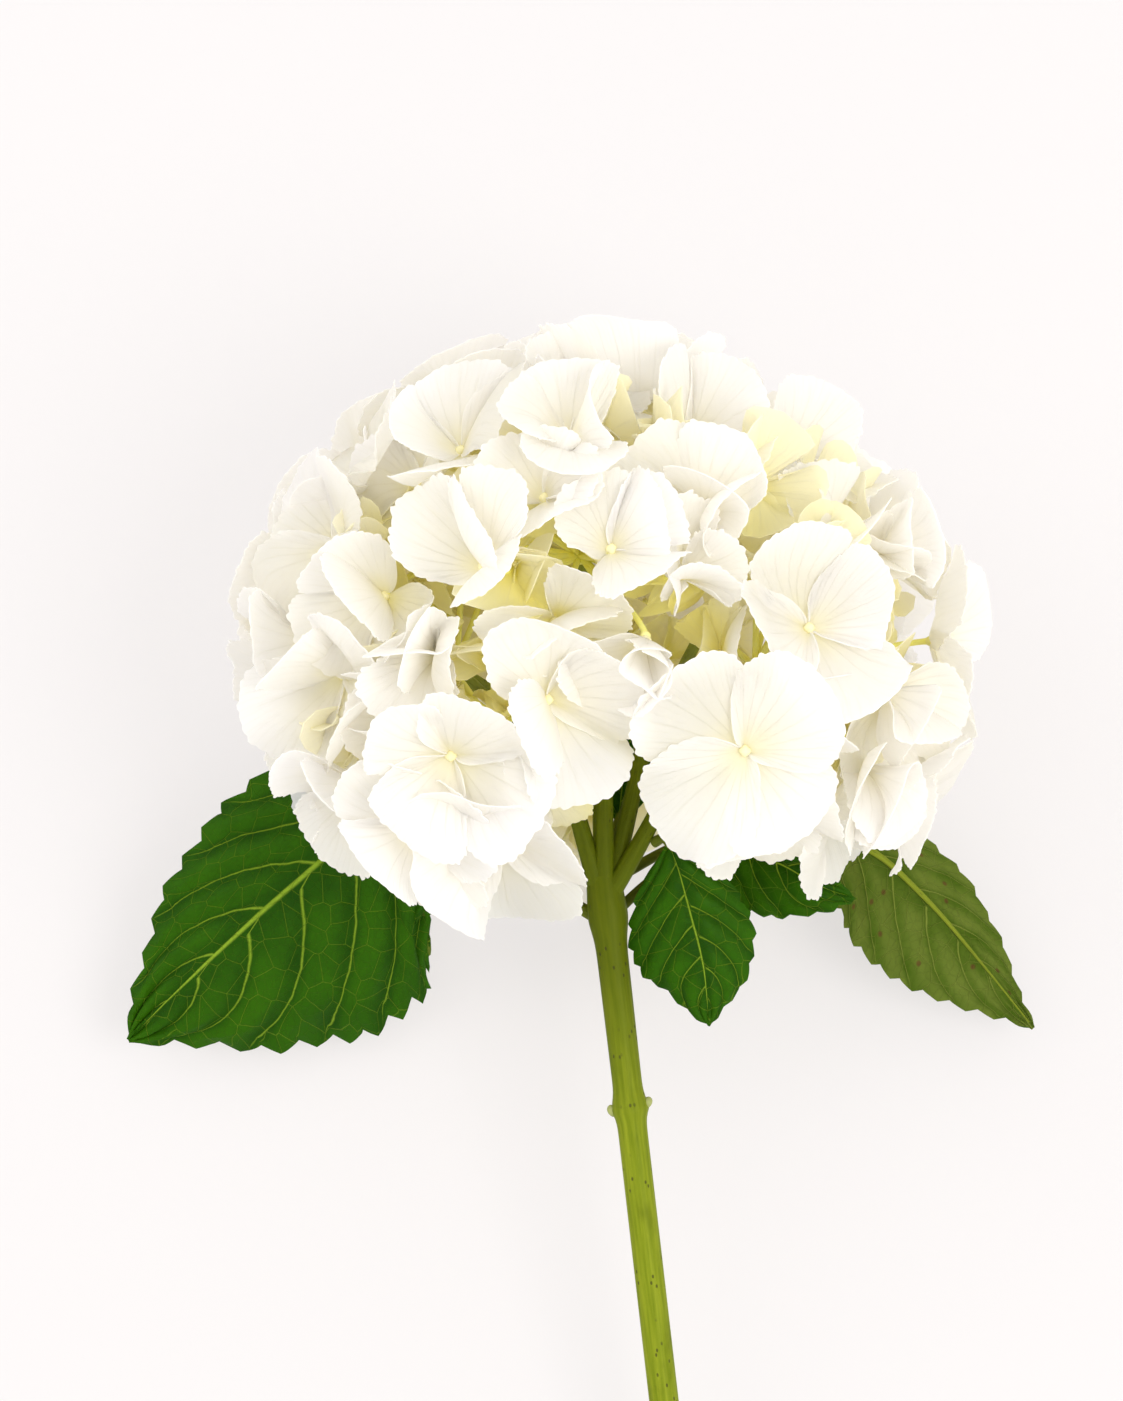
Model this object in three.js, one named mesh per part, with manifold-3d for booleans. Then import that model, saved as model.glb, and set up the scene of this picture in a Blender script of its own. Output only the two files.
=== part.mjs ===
// A cut mophead hydrangea lying on a table: one green stem with its forked rays, a head of eleven
// flower clusters, four foliage leaves and a small bract leaf. Units are millimetres, +Z is up.
//
// The flower is drawn in its own frame and then laid down by one group: x runs across the flower, y
// from the cut end to the crown, z out of the side that ends up on top. The origin of that frame is
// the whorl, the point where the rays leave the stem.
import * as THREE from "three";
import { mergeVertices } from "three/addons/utils/BufferGeometryUtils.js";
import Module from "manifold-3d";

const wasm = await Module();
wasm.setup();

// ---- Driving dimensions ----
const LEAN_OF_STEM = THREE.MathUtils.degToRad(13); // the head props the stem up at this slope
const STEM_LENGTH = 238; // whorl to the longest edge of the cut end
const STEM_SIDE_LEAN = THREE.MathUtils.degToRad(6.6); // the stem leans sideways under the head
const STEM_RADIUS = 3.6;
const WHORL_HEIGHT = // over the table, which the end of the stem touches
  STEM_LENGTH * Math.cos(STEM_SIDE_LEAN) * Math.sin(LEAN_OF_STEM) + STEM_RADIUS * Math.cos(LEAN_OF_STEM);
const CUT_SLANT = THREE.MathUtils.degToRad(35); // the cut faces up and back by this much
const STEM_TOP_RISE = 3; // the stem runs on this far above the whorl, inside the rays
const LEAF_NODE_DROP = 8; // leaf node below the whorl
const BUD_NODE_DROP = 54; // bare node with two dormant buds below the whorl
const RAY_RADIUS = 2.1; // first rays where they leave the whorl
const TWIG_RADIUS = 1.5; // second rays where they leave their fork
const TWIG_BOW = 4; // second rays bow this far towards the crown
const DORMANT_BUD_RADIUS = 1.5;
const HUB_RADIUS = 2.8; // knuckle at the end of a ray where the pedicels start
const PEDICEL_RADIUS = 0.7;
const SEPAL_LENGTH = 25;
const BLADE_THICKNESS = 0.7;
const LEAF_THICKNESS = 0.9;
const SEAT_GAP = 0.3; // running gap between two nodes that touch in nature
const SEED = 29;

// ---- How a cluster is filled ----
const HEAD_CORE = new THREE.Vector3(0, 56, 0); // florets face away from this point
const PEDICEL_REACH = 33; // hub to floret in a cluster that is filled by rule
// Least distance to florets of the same and of other clusters, and to the border of the cell.
const IN_DOMES = { inside: 25, outside: 18, margin: 5 };
const IN_GAPS = { inside: 19, outside: 19, margin: 2 };
const TIP = 0.2; // filled florets are tipped at random by up to this along each axis
const SKIRT = 18; // no floret filled by rule sits lower on the head than this
const ROOM_FOR_LEAVES = 22; // nor does one sit nearer than this to a leaf
const THROAT = new THREE.Vector3(3, 18, 40); // open place under the head, where the rays show
const THROAT_RADIUS = 30;
const THIN_AT_BACK = 0.3; // florets stand this share further apart on the table side
const BROAD_AT_BACK = 0.3; // and are this share larger there
const FULLY_BEHIND = 40; // both in full this far below the middle of the head
const HEAD_HALVES = new THREE.Vector3(70, 58, 62); // the rounded form that gap fillers sit on
const WALL_SOFTNESS = 4; // sepals start to turn up this far from the next cluster
const WALL_GAP = 0.75; // middle surfaces never come nearer than this to the border
const TURN_UP = 0.7; // rise of a sepal along the border, as a share of what is held back
const TABLE_CLEARANCE = 4; // least height of a filled floret's middle
const TABLE_SOFTNESS = 6; // sepals start to flatten this far above the table
const LAYER_LIFT = 4; // a higher floret's sepals pass this far over, a lower one's this far under
const LAYER_SOFTNESS = 6;

// Where the first rays fork, and the hubs where the second rays end. Each hub names its fork.
const FORKS = {
  left: [-9, 27, 6],
  middle: [0, 34, 8],
  inner_right: [9, 32, 1],
  right: [14, 21, 7],
  back: [-1, 24, -13],
};
const HUBS = {
  crown: { at: [-6, 80, 28], fork: "middle" },
  low_right: { at: [38, 38, 28], fork: "right" },
  low_left: { at: [-26, 38, 28], fork: "left" },
  left: { at: [-53, 66, 12], fork: "left" },
  right: { at: [56, 56, -2], fork: "right" },
  crown_right: { at: [34, 80, 12], fork: "inner_right" },
  crown_left: { at: [-36, 86, -6], fork: "left" },
  crown_back: { at: [0, 92, -22], fork: "inner_right" },
  back_left: { at: [-37, 54, -30], fork: "back" },
  back_right: { at: [38, 54, -30], fork: "back" },
  back: { at: [0, 48, -38], fork: "back" },
};

// Florets on the top side that set the head's character: place, then heading and lean of the face
// (heading turns from +x to +y, lean tips away from +z), spin of the four sepals, size, and how far
// the sepals stand up round the bud, in radians.
const SHOW_FLORETS = [
  [32, 34, 62, 300, 8, 44, 1.1, 0],
  [47, 62, 52, 45, 35, 20, 1, 0.1],
  [34, 22, 44, 270, 55, 20, 0.9, 0.15],
  [61, 30, 32, 300, 50, 10, 1, 0.4],
  [66, 48, 32, 350, 50, 0, 1, 0.3],
  [65, 81, 20, 40, 45, 55, 0.95, 0.5],
  [9, 60, 64, 285, 25, 48, 0.95, 0.3],
  [1, 80, 66, 60, 25, 30, 0.9, 0.6],
  [-28, 76, 62, 140, 25, 50, 1, 0.5],
  [-12, 64, 55, 240, 20, 30, 0.95, 0.3],
  [-9, 105, 48, 90, 55, 0, 1, 0.2],
  [-34, 104, 34, 120, 55, 20, 1, 0.15],
  [-57, 98, 5, 140, 65, 0, 1, 0.2],
  [-64, 82, 14, 160, 55, 45, 0.95, 0.2],
  [-52, 70, 38, 165, 40, 40, 0.95, 0.3],
  [-71, 60, 14, 190, 65, 20, 0.9, 0.2],
  [-62, 52, 32, 195, 45, 30, 1, 0.2],
  [-36, 33, 58, 230, 30, 50, 1, 0.15],
  [-26, 14, 44, 255, 55, 5, 1.1, 0.1],
  [-16, 29, 48, 300, 45, 30, 0.8, 0.5],
  [-14, 46, 62, 320, 20, 22, 0.95, 0.3],
  [-39, 56, 52, 130, 30, 70, 0.85, 0.4],
  [22, 89, 50, 50, 30, 48, 1, 0.4],
  [20, 106, 26, 85, 60, 30, 0.95, 0.2],
  [9, 118, 5, 90, 70, 0, 1, 0.1],
  [-14, 121, -5, 100, 70, 45, 0.9, 0.3],
  [44, 104, 0, 50, 65, 20, 1, 0.2],
  [33, 74, 36, 70, 25, 0, 0.8, 0.6],
  [51, 84, 30, 60, 45, 10, 0.8, 0.5],
  [80, 60, 0, 0, 70, 45, 1, 0.1],
  [71, 24, 12, 315, 65, 20, 0.95, 0.2],
  [-76, 47, -8, 190, 80, 30, 0.8, 0.2],
  [-58, 26, 30, 225, 55, 40, 0.95, 0.2],
  [-44, 16, 44, 240, 50, 10, 0.95, 0.2],
  [-46, 41, 40, 200, 40, 0, 0.8, 0.3],
  [27, 56, 46, 100, 30, 0, 0.75, 0.5],
  [-14, 92, 58, 110, 25, 20, 0.8, 0.7],
  [17, 74, 58, 20, 30, 10, 0.75, 0.5],
  [-44, 97, 17, 125, 50, 0, 0.8, 0.3],
];

// Leaves: rib is the petiole and midrib from the stem to the tip, blade is the share of it that is
// bare petiole, face is where the upper side looks, half is the widest half-width on each side of the
// rib (left as seen from above, base to tip), outline is how far out its widest place lies and how
// pointed its ends are, fold tips each half up and curl bends it on.
const LEAVES = {
  leaf_left: {
    rib: [
      [-1, -8, -1], [-14, 0, -5], [-27, 13, -12], [-42, 19, -17], [-59, 14, -19], [-77, 0, -20],
      [-98, -19, -24], [-119, -39.5, -31],
    ],
    blade: 0.15, face: [0.05, -0.1, 1], half: [46, 26], outline: [0.93, 0.6],
    fold: [-4, -8], curl: [-16, -14], teeth: 15,
  },
  leaf_middle: {
    rib: [
      [12, 11, 5], [14.5, 12, 7], [17, 7, 8.5], [20.5, -5, 8], [24, -19, 6], [25.5, -34, 1],
    ],
    blade: 0.1, face: [-0.1, 0.1, 1], half: [14, 17], outline: [0.92, 0.68],
    fold: [-8, -6], curl: [-14, -14], teeth: 9,
  },
  leaf_folded: {
    rib: [
      [1, -8, -1], [11, 1, -6], [23, 9.5, -10], [34, 9, -11], [44, 5, -11], [53, 0, -12],
      [62.5, -3.5, -15],
    ],
    blade: 0.4, face: [0.1, 0.25, 1], half: [13, 17], outline: [0.66, 0.85],
    fold: [-4, 10], curl: [-12, 14], teeth: 8,
  },
  leaf_right: {
    rib: [
      [1, 1, -3], [22, 11, -16], [48, 14, -26], [66, 8, -28], [80, -4, -30], [95, -21, -34],
      [108, -37, -37],
    ],
    blade: 0.42, face: [-0.3, -0.2, -1], half: [19.5, 13.5], outline: [0.76, 0.75],
    fold: [6, 4], curl: [14, 10], teeth: 11,
  },
  leaf_bract: {
    rib: [[0, 3, -3], [3, 14, -7], [5, 30, -10], [6, 50, -11]],
    blade: 0.3, face: [-0.1, 0, 1], half: [8, 8], outline: [0.66, 0.85],
    fold: [6, 6], curl: [8, 8], teeth: 6,
  },
};

// ---- Small helpers ----
const vector = (xyz) => new THREE.Vector3(...xyz);
const radians = THREE.MathUtils.degToRad;
const UP = new THREE.Vector3(0, Math.sin(LEAN_OF_STEM), Math.cos(LEAN_OF_STEM));
const heightOf = (point) => point.dot(UP) + WHORL_HEIGHT; // over the table
const smooth = (low, high, x) => {
  const t = Math.min(1, Math.max(0, (x - low) / (high - low)));
  return t * t * (3 - 2 * t);
};

// Seeded draw between two numbers, the same on every run.
function seededDraw(seed) {
  let state = seed;
  return (low, high) => {
    state = (Math.imul(state, 1664525) + 1013904223) >>> 0;
    return low + ((high - low) * state) / 2 ** 32;
  };
}

// A soft stop: follows x until softness before the limit, then closes on it and never passes it.
function softStop(x, limit, softness) {
  const over = x - (limit - softness);
  return over <= 0 ? x : limit - softness * Math.exp(-over / softness);
}

// ---- Solids ----
function geometryOf(points, triangles) {
  const geometry = new THREE.BufferGeometry();
  geometry.setAttribute(
    "position",
    new THREE.BufferAttribute(new Float32Array(points.flatMap((p) => p.toArray())), 3),
  );
  geometry.setIndex(triangles.flat());
  return geometry;
}

function solidOf(geometry) {
  const bare = geometry.clone();
  bare.deleteAttribute("normal");
  bare.deleteAttribute("uv");
  const merged = mergeVertices(bare, 1e-4);
  return new wasm.Manifold(
    new wasm.Mesh({
      numProp: 3,
      vertProperties: new Float32Array(merged.attributes.position.array),
      triVerts: new Uint32Array(merged.index.array),
    }),
  );
}

// Joins solids, fills any pocket that the joining sealed, and drops loose scraps.
function fuse(solids) {
  const bodies = wasm.Manifold.union(solids).decompose();
  return bodies.reduce((best, body) => (body.volume() > best.volume() ? body : best));
}

function meshOf(name, solid, material) {
  const { numVert, numProp, vertProperties, triVerts } = solid.getMesh();
  const points = [];
  for (let i = 0; i < numVert; i++) {
    points.push(new THREE.Vector3().fromArray(vertProperties, i * numProp));
  }
  const geometry = geometryOf(points, [Array.from(triVerts)]);
  geometry.computeVertexNormals();
  const mesh = new THREE.Mesh(geometry, material);
  mesh.name = name;
  return mesh;
}

// A round bar along a curve, with its radius given by the share of the way along, closed at both ends.
function taperedBar(curve, radiusAt, sides, steps) {
  const frames = curve.computeFrenetFrames(steps);
  const points = [];
  const triangles = [];
  for (let i = 0; i <= steps; i++) {
    const centre = curve.getPointAt(i / steps);
    for (let k = 0; k < sides; k++) {
      const turn = (2 * Math.PI * k) / sides;
      points.push(
        centre.clone()
          .addScaledVector(frames.normals[i], Math.cos(turn) * radiusAt(i / steps))
          .addScaledVector(frames.binormals[i], Math.sin(turn) * radiusAt(i / steps)),
      );
    }
  }
  for (let i = 0; i < steps; i++) {
    for (let k = 0; k < sides; k++) {
      const [a, b] = [i * sides + k, i * sides + ((k + 1) % sides)];
      triangles.push([a, b, b + sides], [a, b + sides, a + sides]);
    }
  }
  for (let k = 1; k < sides - 1; k++) {
    const last = steps * sides;
    triangles.push([0, k + 1, k], [last, last + k, last + k + 1]);
  }
  return solidOf(geometryOf(points, triangles));
}

const ball = (centre, radius) =>
  solidOf(new THREE.SphereGeometry(radius, 6, 3).translate(...centre.toArray()));

// Area-weighted normals of an open surface, one for each point.
function surfaceNormals(points, triangles) {
  const normals = points.map(() => new THREE.Vector3());
  for (const [a, b, c] of triangles) {
    const ab = points[b].clone().sub(points[a]);
    const normal = ab.cross(points[c].clone().sub(points[a]));
    [a, b, c].forEach((corner) => normals[corner].add(normal));
  }
  return normals.map((normal) => normal.normalize());
}

// Gives a sheet its thickness: the same triangles on both faces, and a wall along each rim edge. Rim
// edges run the way the sheet's own triangles do.
function thickSheet(middle, triangles, rim, thickness) {
  const normals = surfaceNormals(middle, triangles);
  const count = middle.length;
  const points = [thickness / 2, -thickness / 2].flatMap((offset) =>
    middle.map((point, i) => point.clone().addScaledVector(normals[i], offset)),
  );
  const faces = [
    ...triangles,
    ...triangles.map(([a, b, c]) => [a + count, c + count, b + count]),
    ...rim.flatMap(([a, b]) => [[a, a + count, b + count], [a, b + count, b]]),
  ];
  return { points, faces };
}

// ---- Florets ----
// Each floret is a four-lobed blade on a pedicel. out is the way it faces, and each sepal runs along
// its own direction in the floret's plane.
function makeFloret(draw, at, out, spin, size, cupped) {
  const across = Math.abs(out.y) < 0.9 ? new THREE.Vector3(0, 1, 0) : new THREE.Vector3(1, 0, 0);
  const side = across.clone().cross(out).normalize();
  const rise = out.clone().cross(side);
  const sepals = [0, 1, 2, 3].map((k) => {
    const turn = spin + (k * Math.PI) / 2 + draw(-0.12, 0.12);
    const along = side.clone().multiplyScalar(Math.cos(turn)).addScaledVector(rise, Math.sin(turn));
    return {
      along,
      across: out.clone().cross(along),
      length: SEPAL_LENGTH * size * draw(0.92, 1.06),
      slope: cupped + draw(0, 0.3) + (k % 2 ? 0 : 0.08), // start angle out of the floret's plane
      bend: draw(-0.9, 0.3), // change of that angle over the whole length
      cup: draw(-0.28, 0.22), // how far the side edges stand up
      twist: draw(-0.22, 0.22),
    };
  });
  return { at, out, sepals };
}

// The flat sheet of sepal k bent into shape: along is a share of its length, across is in lengths.
function sepalPoint(floret, k, along, across) {
  const sepal = floret.sepals[k];
  const { length, slope } = sepal;
  const bend = Math.abs(sepal.bend) < 0.01 ? 0.01 : sepal.bend;
  const angle = slope + bend * along;
  const forward = (length * (Math.sin(angle) - Math.sin(slope))) / bend;
  const up = (length * (Math.cos(slope) - Math.cos(angle))) / bend;
  const bulge = length * (sepal.cup * across * across * 2 + sepal.twist * across * along);
  return floret.at.clone()
    .addScaledVector(sepal.along, forward - bulge * Math.sin(angle))
    .addScaledVector(floret.out, up + bulge * Math.cos(angle))
    .addScaledVector(sepal.across, across * length);
}

// The borders of a cluster's cell: planes halfway to each other hub.
function bordersOf(hub, hubs) {
  return hubs
    .filter((other) => other !== hub)
    .map((other) => {
      const toward = other.clone().sub(hub);
      const border = toward.length() / 2;
      return { toward: toward.normalize(), border };
    });
}

// Layers neighbours over and under each other, turns sepals up along the borders of the cluster's
// cell, and flattens what would reach the table.
function settle(point, floret, cluster) {
  const moved = point.clone();
  for (const other of cluster.florets) {
    const between = other.at.clone().sub(floret.at);
    const apart = between.length();
    if (other === floret || apart > 2 * SEPAL_LENGTH) continue;
    const beyond = point.clone().sub(floret.at).dot(between) / apart - apart / 2;
    const higher = between.dot(floret.out.clone().add(other.out)) < 0 ? 1 : -1;
    const share = smooth(-LAYER_SOFTNESS, LAYER_SOFTNESS, beyond);
    moved.addScaledVector(floret.out, higher * LAYER_LIFT * share);
  }
  const reachTo = (toward) => moved.clone().sub(cluster.hub).dot(toward);
  for (const { toward, border } of cluster.borders) {
    const reach = reachTo(toward);
    const kept = softStop(reach, border - WALL_GAP, WALL_SOFTNESS);
    moved.addScaledVector(toward, kept - reach);
    moved.addScaledVector(floret.out, TURN_UP * (reach - kept));
  }
  // Turning up along one border may have carried the point over another.
  for (const { toward, border } of cluster.borders) {
    moved.addScaledVector(toward, Math.min(0, border - WALL_GAP - reachTo(toward)));
  }
  const height = heightOf(moved);
  const lifted = -softStop(-height, -BLADE_THICKNESS / 2, TABLE_SOFTNESS);
  return moved.addScaledVector(UP, lifted - height);
}

// Outline of one lobe, counter-clockwise from its right shoulder: shares of length along and across.
const LOBE = [[0.7, -0.53], [0.97, -0.24], [0.97, 0.24], [0.7, 0.53]];
const LOBE_MIDDLE = [0.58, 0];
const NOTCH = 0.47; // along and across, on the diagonal between two lobes
const CALYX = 0.055; // the same for the ring round the bud
const BUD_HEIGHT = 1.6;
const ELBOW_DROP = 5; // the pedicel leaves straight down for this far, and then turns to its hub
const ELBOW_WIDENING = 1.2;

function floretSolid(floret, cluster) {
  const place = (point) => settle(point, floret, cluster);
  // A point that two neighbouring lobes share is halfway between what each makes of it.
  const shared = (k, inward) => {
    const here = sepalPoint(floret, k, inward, inward);
    return place(here.lerp(sepalPoint(floret, (k + 1) % 4, inward, -inward), 0.5));
  };
  const middle = [];
  const triangles = [];
  for (let k = 0; k < 4; k++) middle.push(shared(k, CALYX)); // 0-3: ring
  for (let k = 0; k < 4; k++) middle.push(shared(k, NOTCH)); // 4-7: notches
  const rim = [];
  for (let k = 0; k < 4; k++) {
    const centre = middle.length;
    middle.push(place(sepalPoint(floret, k, ...LOBE_MIDDLE)));
    const edge = LOBE.map(([along, across]) => {
      middle.push(place(sepalPoint(floret, k, along, across)));
      return middle.length - 1;
    });
    const before = (k + 3) % 4;
    const loop = [before, 4 + before, ...edge, 4 + k, k];
    loop.forEach((corner, i) => triangles.push([centre, corner, loop[(i + 1) % loop.length]]));
    const outer = [4 + before, ...edge, 4 + k];
    for (let i = 0; i < outer.length - 1; i++) rim.push([outer[i], outer[i + 1]]);
  }
  const { points, faces } = thickSheet(middle, triangles, rim, BLADE_THICKNESS);
  const count = middle.length;
  // The bud closes the top of the ring. The pedicel takes over from its underside: a ring at the
  // elbow, and one inside the hub.
  const bud = points.length;
  points.push(floret.at.clone().addScaledVector(floret.out, BUD_HEIGHT));
  const elbow = floret.at.clone().addScaledVector(floret.out, -ELBOW_DROP);
  const toHub = cluster.hub.clone().sub(elbow).normalize();
  const atElbow = toHub.clone().sub(floret.out).normalize();
  const addRing = (centre, axis, radius) => {
    for (let k = 0; k < 4; k++) {
      const spoke = middle[k].clone().sub(floret.at);
      spoke.addScaledVector(axis, -spoke.dot(axis)).normalize();
      points.push(centre.clone().addScaledVector(spoke, radius));
    }
  };
  addRing(elbow, atElbow, PEDICEL_RADIUS * ELBOW_WIDENING);
  addRing(cluster.hub, toHub, PEDICEL_RADIUS);
  const rings = [count, bud + 1, bud + 5];
  for (let k = 0; k < 4; k++) {
    const next = (k + 1) % 4;
    faces.push([bud, k, next]);
    for (const [upper, lower] of [rings.slice(0, 2), rings.slice(1)]) {
      faces.push([upper + k, lower + k, lower + next], [upper + k, lower + next, upper + next]);
    }
  }
  const end = rings[2];
  faces.push([end + 2, end + 1, end], [end + 3, end + 2, end]);
  return solidOf(geometryOf(points, faces));
}

// Directions spread evenly over a sphere, on a golden spiral.
function spiralDirections(count) {
  const golden = Math.PI * (3 - Math.sqrt(5));
  return Array.from({ length: count }, (_, i) => {
    const tall = 1 - (2 * (i + 0.5)) / count;
    const flat = Math.sqrt(1 - tall * tall);
    return new THREE.Vector3(flat * Math.cos(golden * i), tall, flat * Math.sin(golden * i));
  });
}

// Whether a place for a floret is over the table, off the leaves and out of the open throat.
function isClear(at, leafSpots) {
  return (
    at.y > SKIRT &&
    heightOf(at) > TABLE_CLEARANCE &&
    at.distanceTo(THROAT) > THROAT_RADIUS &&
    leafSpots.every((spot) => spot.distanceTo(at) > ROOM_FOR_LEAVES)
  );
}

// Fills the head: the show florets first, then a dome round each hub, and then the gaps that are left
// between the domes. A floret is kept where it has room, inside its own cluster's cell.
function fillHead() {
  const draw = seededDraw(SEED);
  const hubs = Object.values(HUBS).map(({ at }) => vector(at));
  const clusters = hubs.map((hub) => ({ hub, borders: bordersOf(hub, hubs), florets: [] }));
  const leafSpots = Object.values(LEAVES).flatMap(leafSamples);
  const placed = [];

  const add = (cluster, at, out, spin, size, cupped) => {
    cluster.florets.push(makeFloret(draw, at, out, spin, size, cupped));
    placed.push({ at, cluster });
  };
  const nearest = (at) =>
    clusters.reduce((best, one) => (one.hub.distanceTo(at) < best.hub.distanceTo(at) ? one : best));
  const tipped = (out) =>
    out.add(new THREE.Vector3(draw(-TIP, TIP), draw(-TIP, TIP), draw(-TIP, TIP))).normalize();
  const tryAt = (cluster, at, out, spacing, size) => {
    const behind = smooth(0, FULLY_BEHIND, -at.z);
    const inCell = cluster.borders.every(
      ({ toward, border }) => at.clone().sub(cluster.hub).dot(toward) < border - spacing.margin,
    );
    const roomy = placed.every((other) => {
      const needed = other.cluster === cluster ? spacing.inside : spacing.outside;
      return other.at.distanceTo(at) > needed * (1 + THIN_AT_BACK * behind);
    });
    if (!inCell || !roomy || !isClear(at, leafSpots)) return;
    const spin = draw(0, Math.PI / 2);
    add(cluster, at, out, spin, size * (1 + BROAD_AT_BACK * behind), draw(0, 0.4));
  };

  for (const [x, y, z, heading, lean, spin, size, cupped] of SHOW_FLORETS) {
    const at = new THREE.Vector3(x, y, z);
    const out = new THREE.Vector3().setFromSphericalCoords(1, radians(lean), radians(heading + 90));
    out.set(out.x, -out.z, out.y);
    add(nearest(at), at, out, radians(spin), size, cupped);
  }
  for (const cluster of clusters) {
    const outward = cluster.hub.clone().sub(HEAD_CORE).normalize();
    for (const direction of spiralDirections(60)) {
      if (direction.dot(outward) < 0.05) continue;
      const at = cluster.hub.clone().addScaledVector(direction, PEDICEL_REACH + draw(-3, 3));
      const fromCore = at.clone().sub(HEAD_CORE).normalize();
      const out = tipped(direction.clone().multiplyScalar(0.65).addScaledVector(fromCore, 0.5));
      tryAt(cluster, at, out, IN_DOMES, draw(0.88, 1.04));
    }
  }
  for (const direction of spiralDirections(300)) {
    const at = direction.clone().multiply(HEAD_HALVES).multiplyScalar(draw(0.94, 1.06)).add(HEAD_CORE);
    tryAt(nearest(at), at, tipped(direction), IN_GAPS, draw(0.85, 1));
  }
  return clusters;
}

function clusterSolid(cluster) {
  return fuse([
    ball(cluster.hub, HUB_RADIUS),
    ...cluster.florets.map((floret) => floretSolid(floret, cluster)),
  ]);
}

// ---- Stem and rays ----
const stemDirection = new THREE.Vector3(Math.sin(STEM_SIDE_LEAN), -Math.cos(STEM_SIDE_LEAN), 0);
const stemPoint = (drop) => stemDirection.clone().multiplyScalar(drop);

// Radius along the stem, with a swelling at each node.
function stemRadius(drop) {
  const swell = (centre, width, amount) => amount * Math.exp(-(((drop - centre) / width) ** 2));
  return (
    STEM_RADIUS + 0.3 * smooth(60, 0, drop) + swell(4, 7, 0.7) +
    swell(LEAF_NODE_DROP, 4, 0.5) + swell(BUD_NODE_DROP, 3, 0.9)
  );
}

// The main stem, longer than its cut end. grown makes it thicker, to cut clearance for petioles.
function mainStem(grown) {
  const end = STEM_LENGTH + 2 * STEM_RADIUS;
  const long = end + STEM_TOP_RISE;
  const line = new THREE.LineCurve3(stemPoint(-STEM_TOP_RISE), stemPoint(end));
  return taperedBar(line, (share) => stemRadius(share * long - STEM_TOP_RISE) + grown, 10, 18);
}

function rayBar(end, grown) {
  const start = new THREE.Vector3(end.x * 0.08, 0, end.z * 0.08);
  const bow = new THREE.Vector3(end.x * 0.55, end.y * 0.4, end.z * 0.55);
  const ray = new THREE.QuadraticBezierCurve3(start, bow, end);
  return taperedBar(ray, (share) => RAY_RADIUS * (1.25 - 0.35 * share) + grown, 6, 3);
}

// A second ray, from its fork to a running gap short of its hub.
function twigBar(fork, hub) {
  const bow = fork.clone().lerp(hub, 0.5).add(new THREE.Vector3(0, TWIG_BOW, 0));
  const arrival = hub.clone().sub(bow).normalize();
  const end = hub.clone().addScaledVector(arrival, -(HUB_RADIUS + SEAT_GAP));
  const twig = new THREE.QuadraticBezierCurve3(fork, bow, end);
  return taperedBar(twig, (share) => TWIG_RADIUS * (1.1 - 0.3 * share), 5, 3);
}

// The stem and its first rays a running gap thicker: what petioles are cut back with.
const stemSleeve = () =>
  wasm.Manifold.union([
    mainStem(SEAT_GAP),
    ...Object.values(FORKS).map((fork) => rayBar(vector(fork), SEAT_GAP)),
  ]);

// What the florist cut away: a block whose top passes through the lowest edge of the stem's end.
function cutOff() {
  const size = 12 * STEM_RADIUS;
  const lowestEdge = stemPoint(STEM_LENGTH).add(new THREE.Vector3(0, 0, -STEM_RADIUS));
  const block = new THREE.BoxGeometry(size, size, size).translate(0, -size / 2, 0);
  return solidOf(block.rotateX(-CUT_SLANT).translate(...lowestEdge.toArray()));
}

function stemSolid() {
  const solids = [mainStem(0)];
  for (const [name, place] of Object.entries(FORKS)) {
    const fork = vector(place);
    solids.push(rayBar(fork, 0), ball(fork, TWIG_RADIUS * 1.35));
    const carried = Object.values(HUBS).filter((hub) => hub.fork === name);
    carried.forEach((hub) => solids.push(twigBar(fork, vector(hub.at))));
  }
  for (const side of [-1, 1]) {
    const bud = stemPoint(BUD_NODE_DROP - side);
    bud.x += side * (STEM_RADIUS + 0.6 * DORMANT_BUD_RADIUS);
    solids.push(ball(bud, DORMANT_BUD_RADIUS));
  }
  return fuse([wasm.Manifold.union(solids).subtract(cutOff())]);
}

// ---- Leaves ----
// Half-width along the blade as a share of the widest, more drawn out toward the tip.
const TIP_DRAWN_OUT = 0.4;
const leafProfile = ([widest, pointed], t) =>
  Math.sin(Math.PI * t ** widest) ** (pointed + TIP_DRAWN_OUT * t);
const TOOTH_PEAK = 0.72; // where along a tooth its tip is
const TOOTH_DEPTH = 0.07; // tip beyond the notches, as a share of the widest half-width
const TOOTH_START = 0.15; // the first tooth starts this far along, in teeth
const LEAF_SWEEP = 0.16; // side edges lie this far ahead of the rib, in half-widths
const PETIOLE_RADIUS = 1.6;
const PETIOLE_IN_BLADE = 0.2; // share of the rib over which the petiole runs out into the blade

// A point of the blade: t runs from its base to its tip, s from the right edge (-1) to the left (1).
function leafPoint(leaf, curve, t, s, tooth) {
  const share = Math.min(1, leaf.blade + (1 - leaf.blade) * t);
  const centre = curve.getPointAt(share);
  const along = curve.getTangentAt(share);
  const left = vector(leaf.face).cross(along).normalize();
  const up = along.clone().cross(left);
  const half = s > 0 ? 0 : 1;
  const out = Math.abs(s) * leaf.half[half] * (leafProfile(leaf.outline, t) + tooth * TOOTH_DEPTH);
  const angle = radians(leaf.fold[half] + leaf.curl[half] * Math.abs(s));
  return centre
    .addScaledVector(left, Math.sign(s) * out * Math.cos(angle))
    .addScaledVector(up, out * Math.sin(angle))
    .addScaledVector(along, LEAF_SWEEP * out * Math.abs(s));
}

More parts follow.
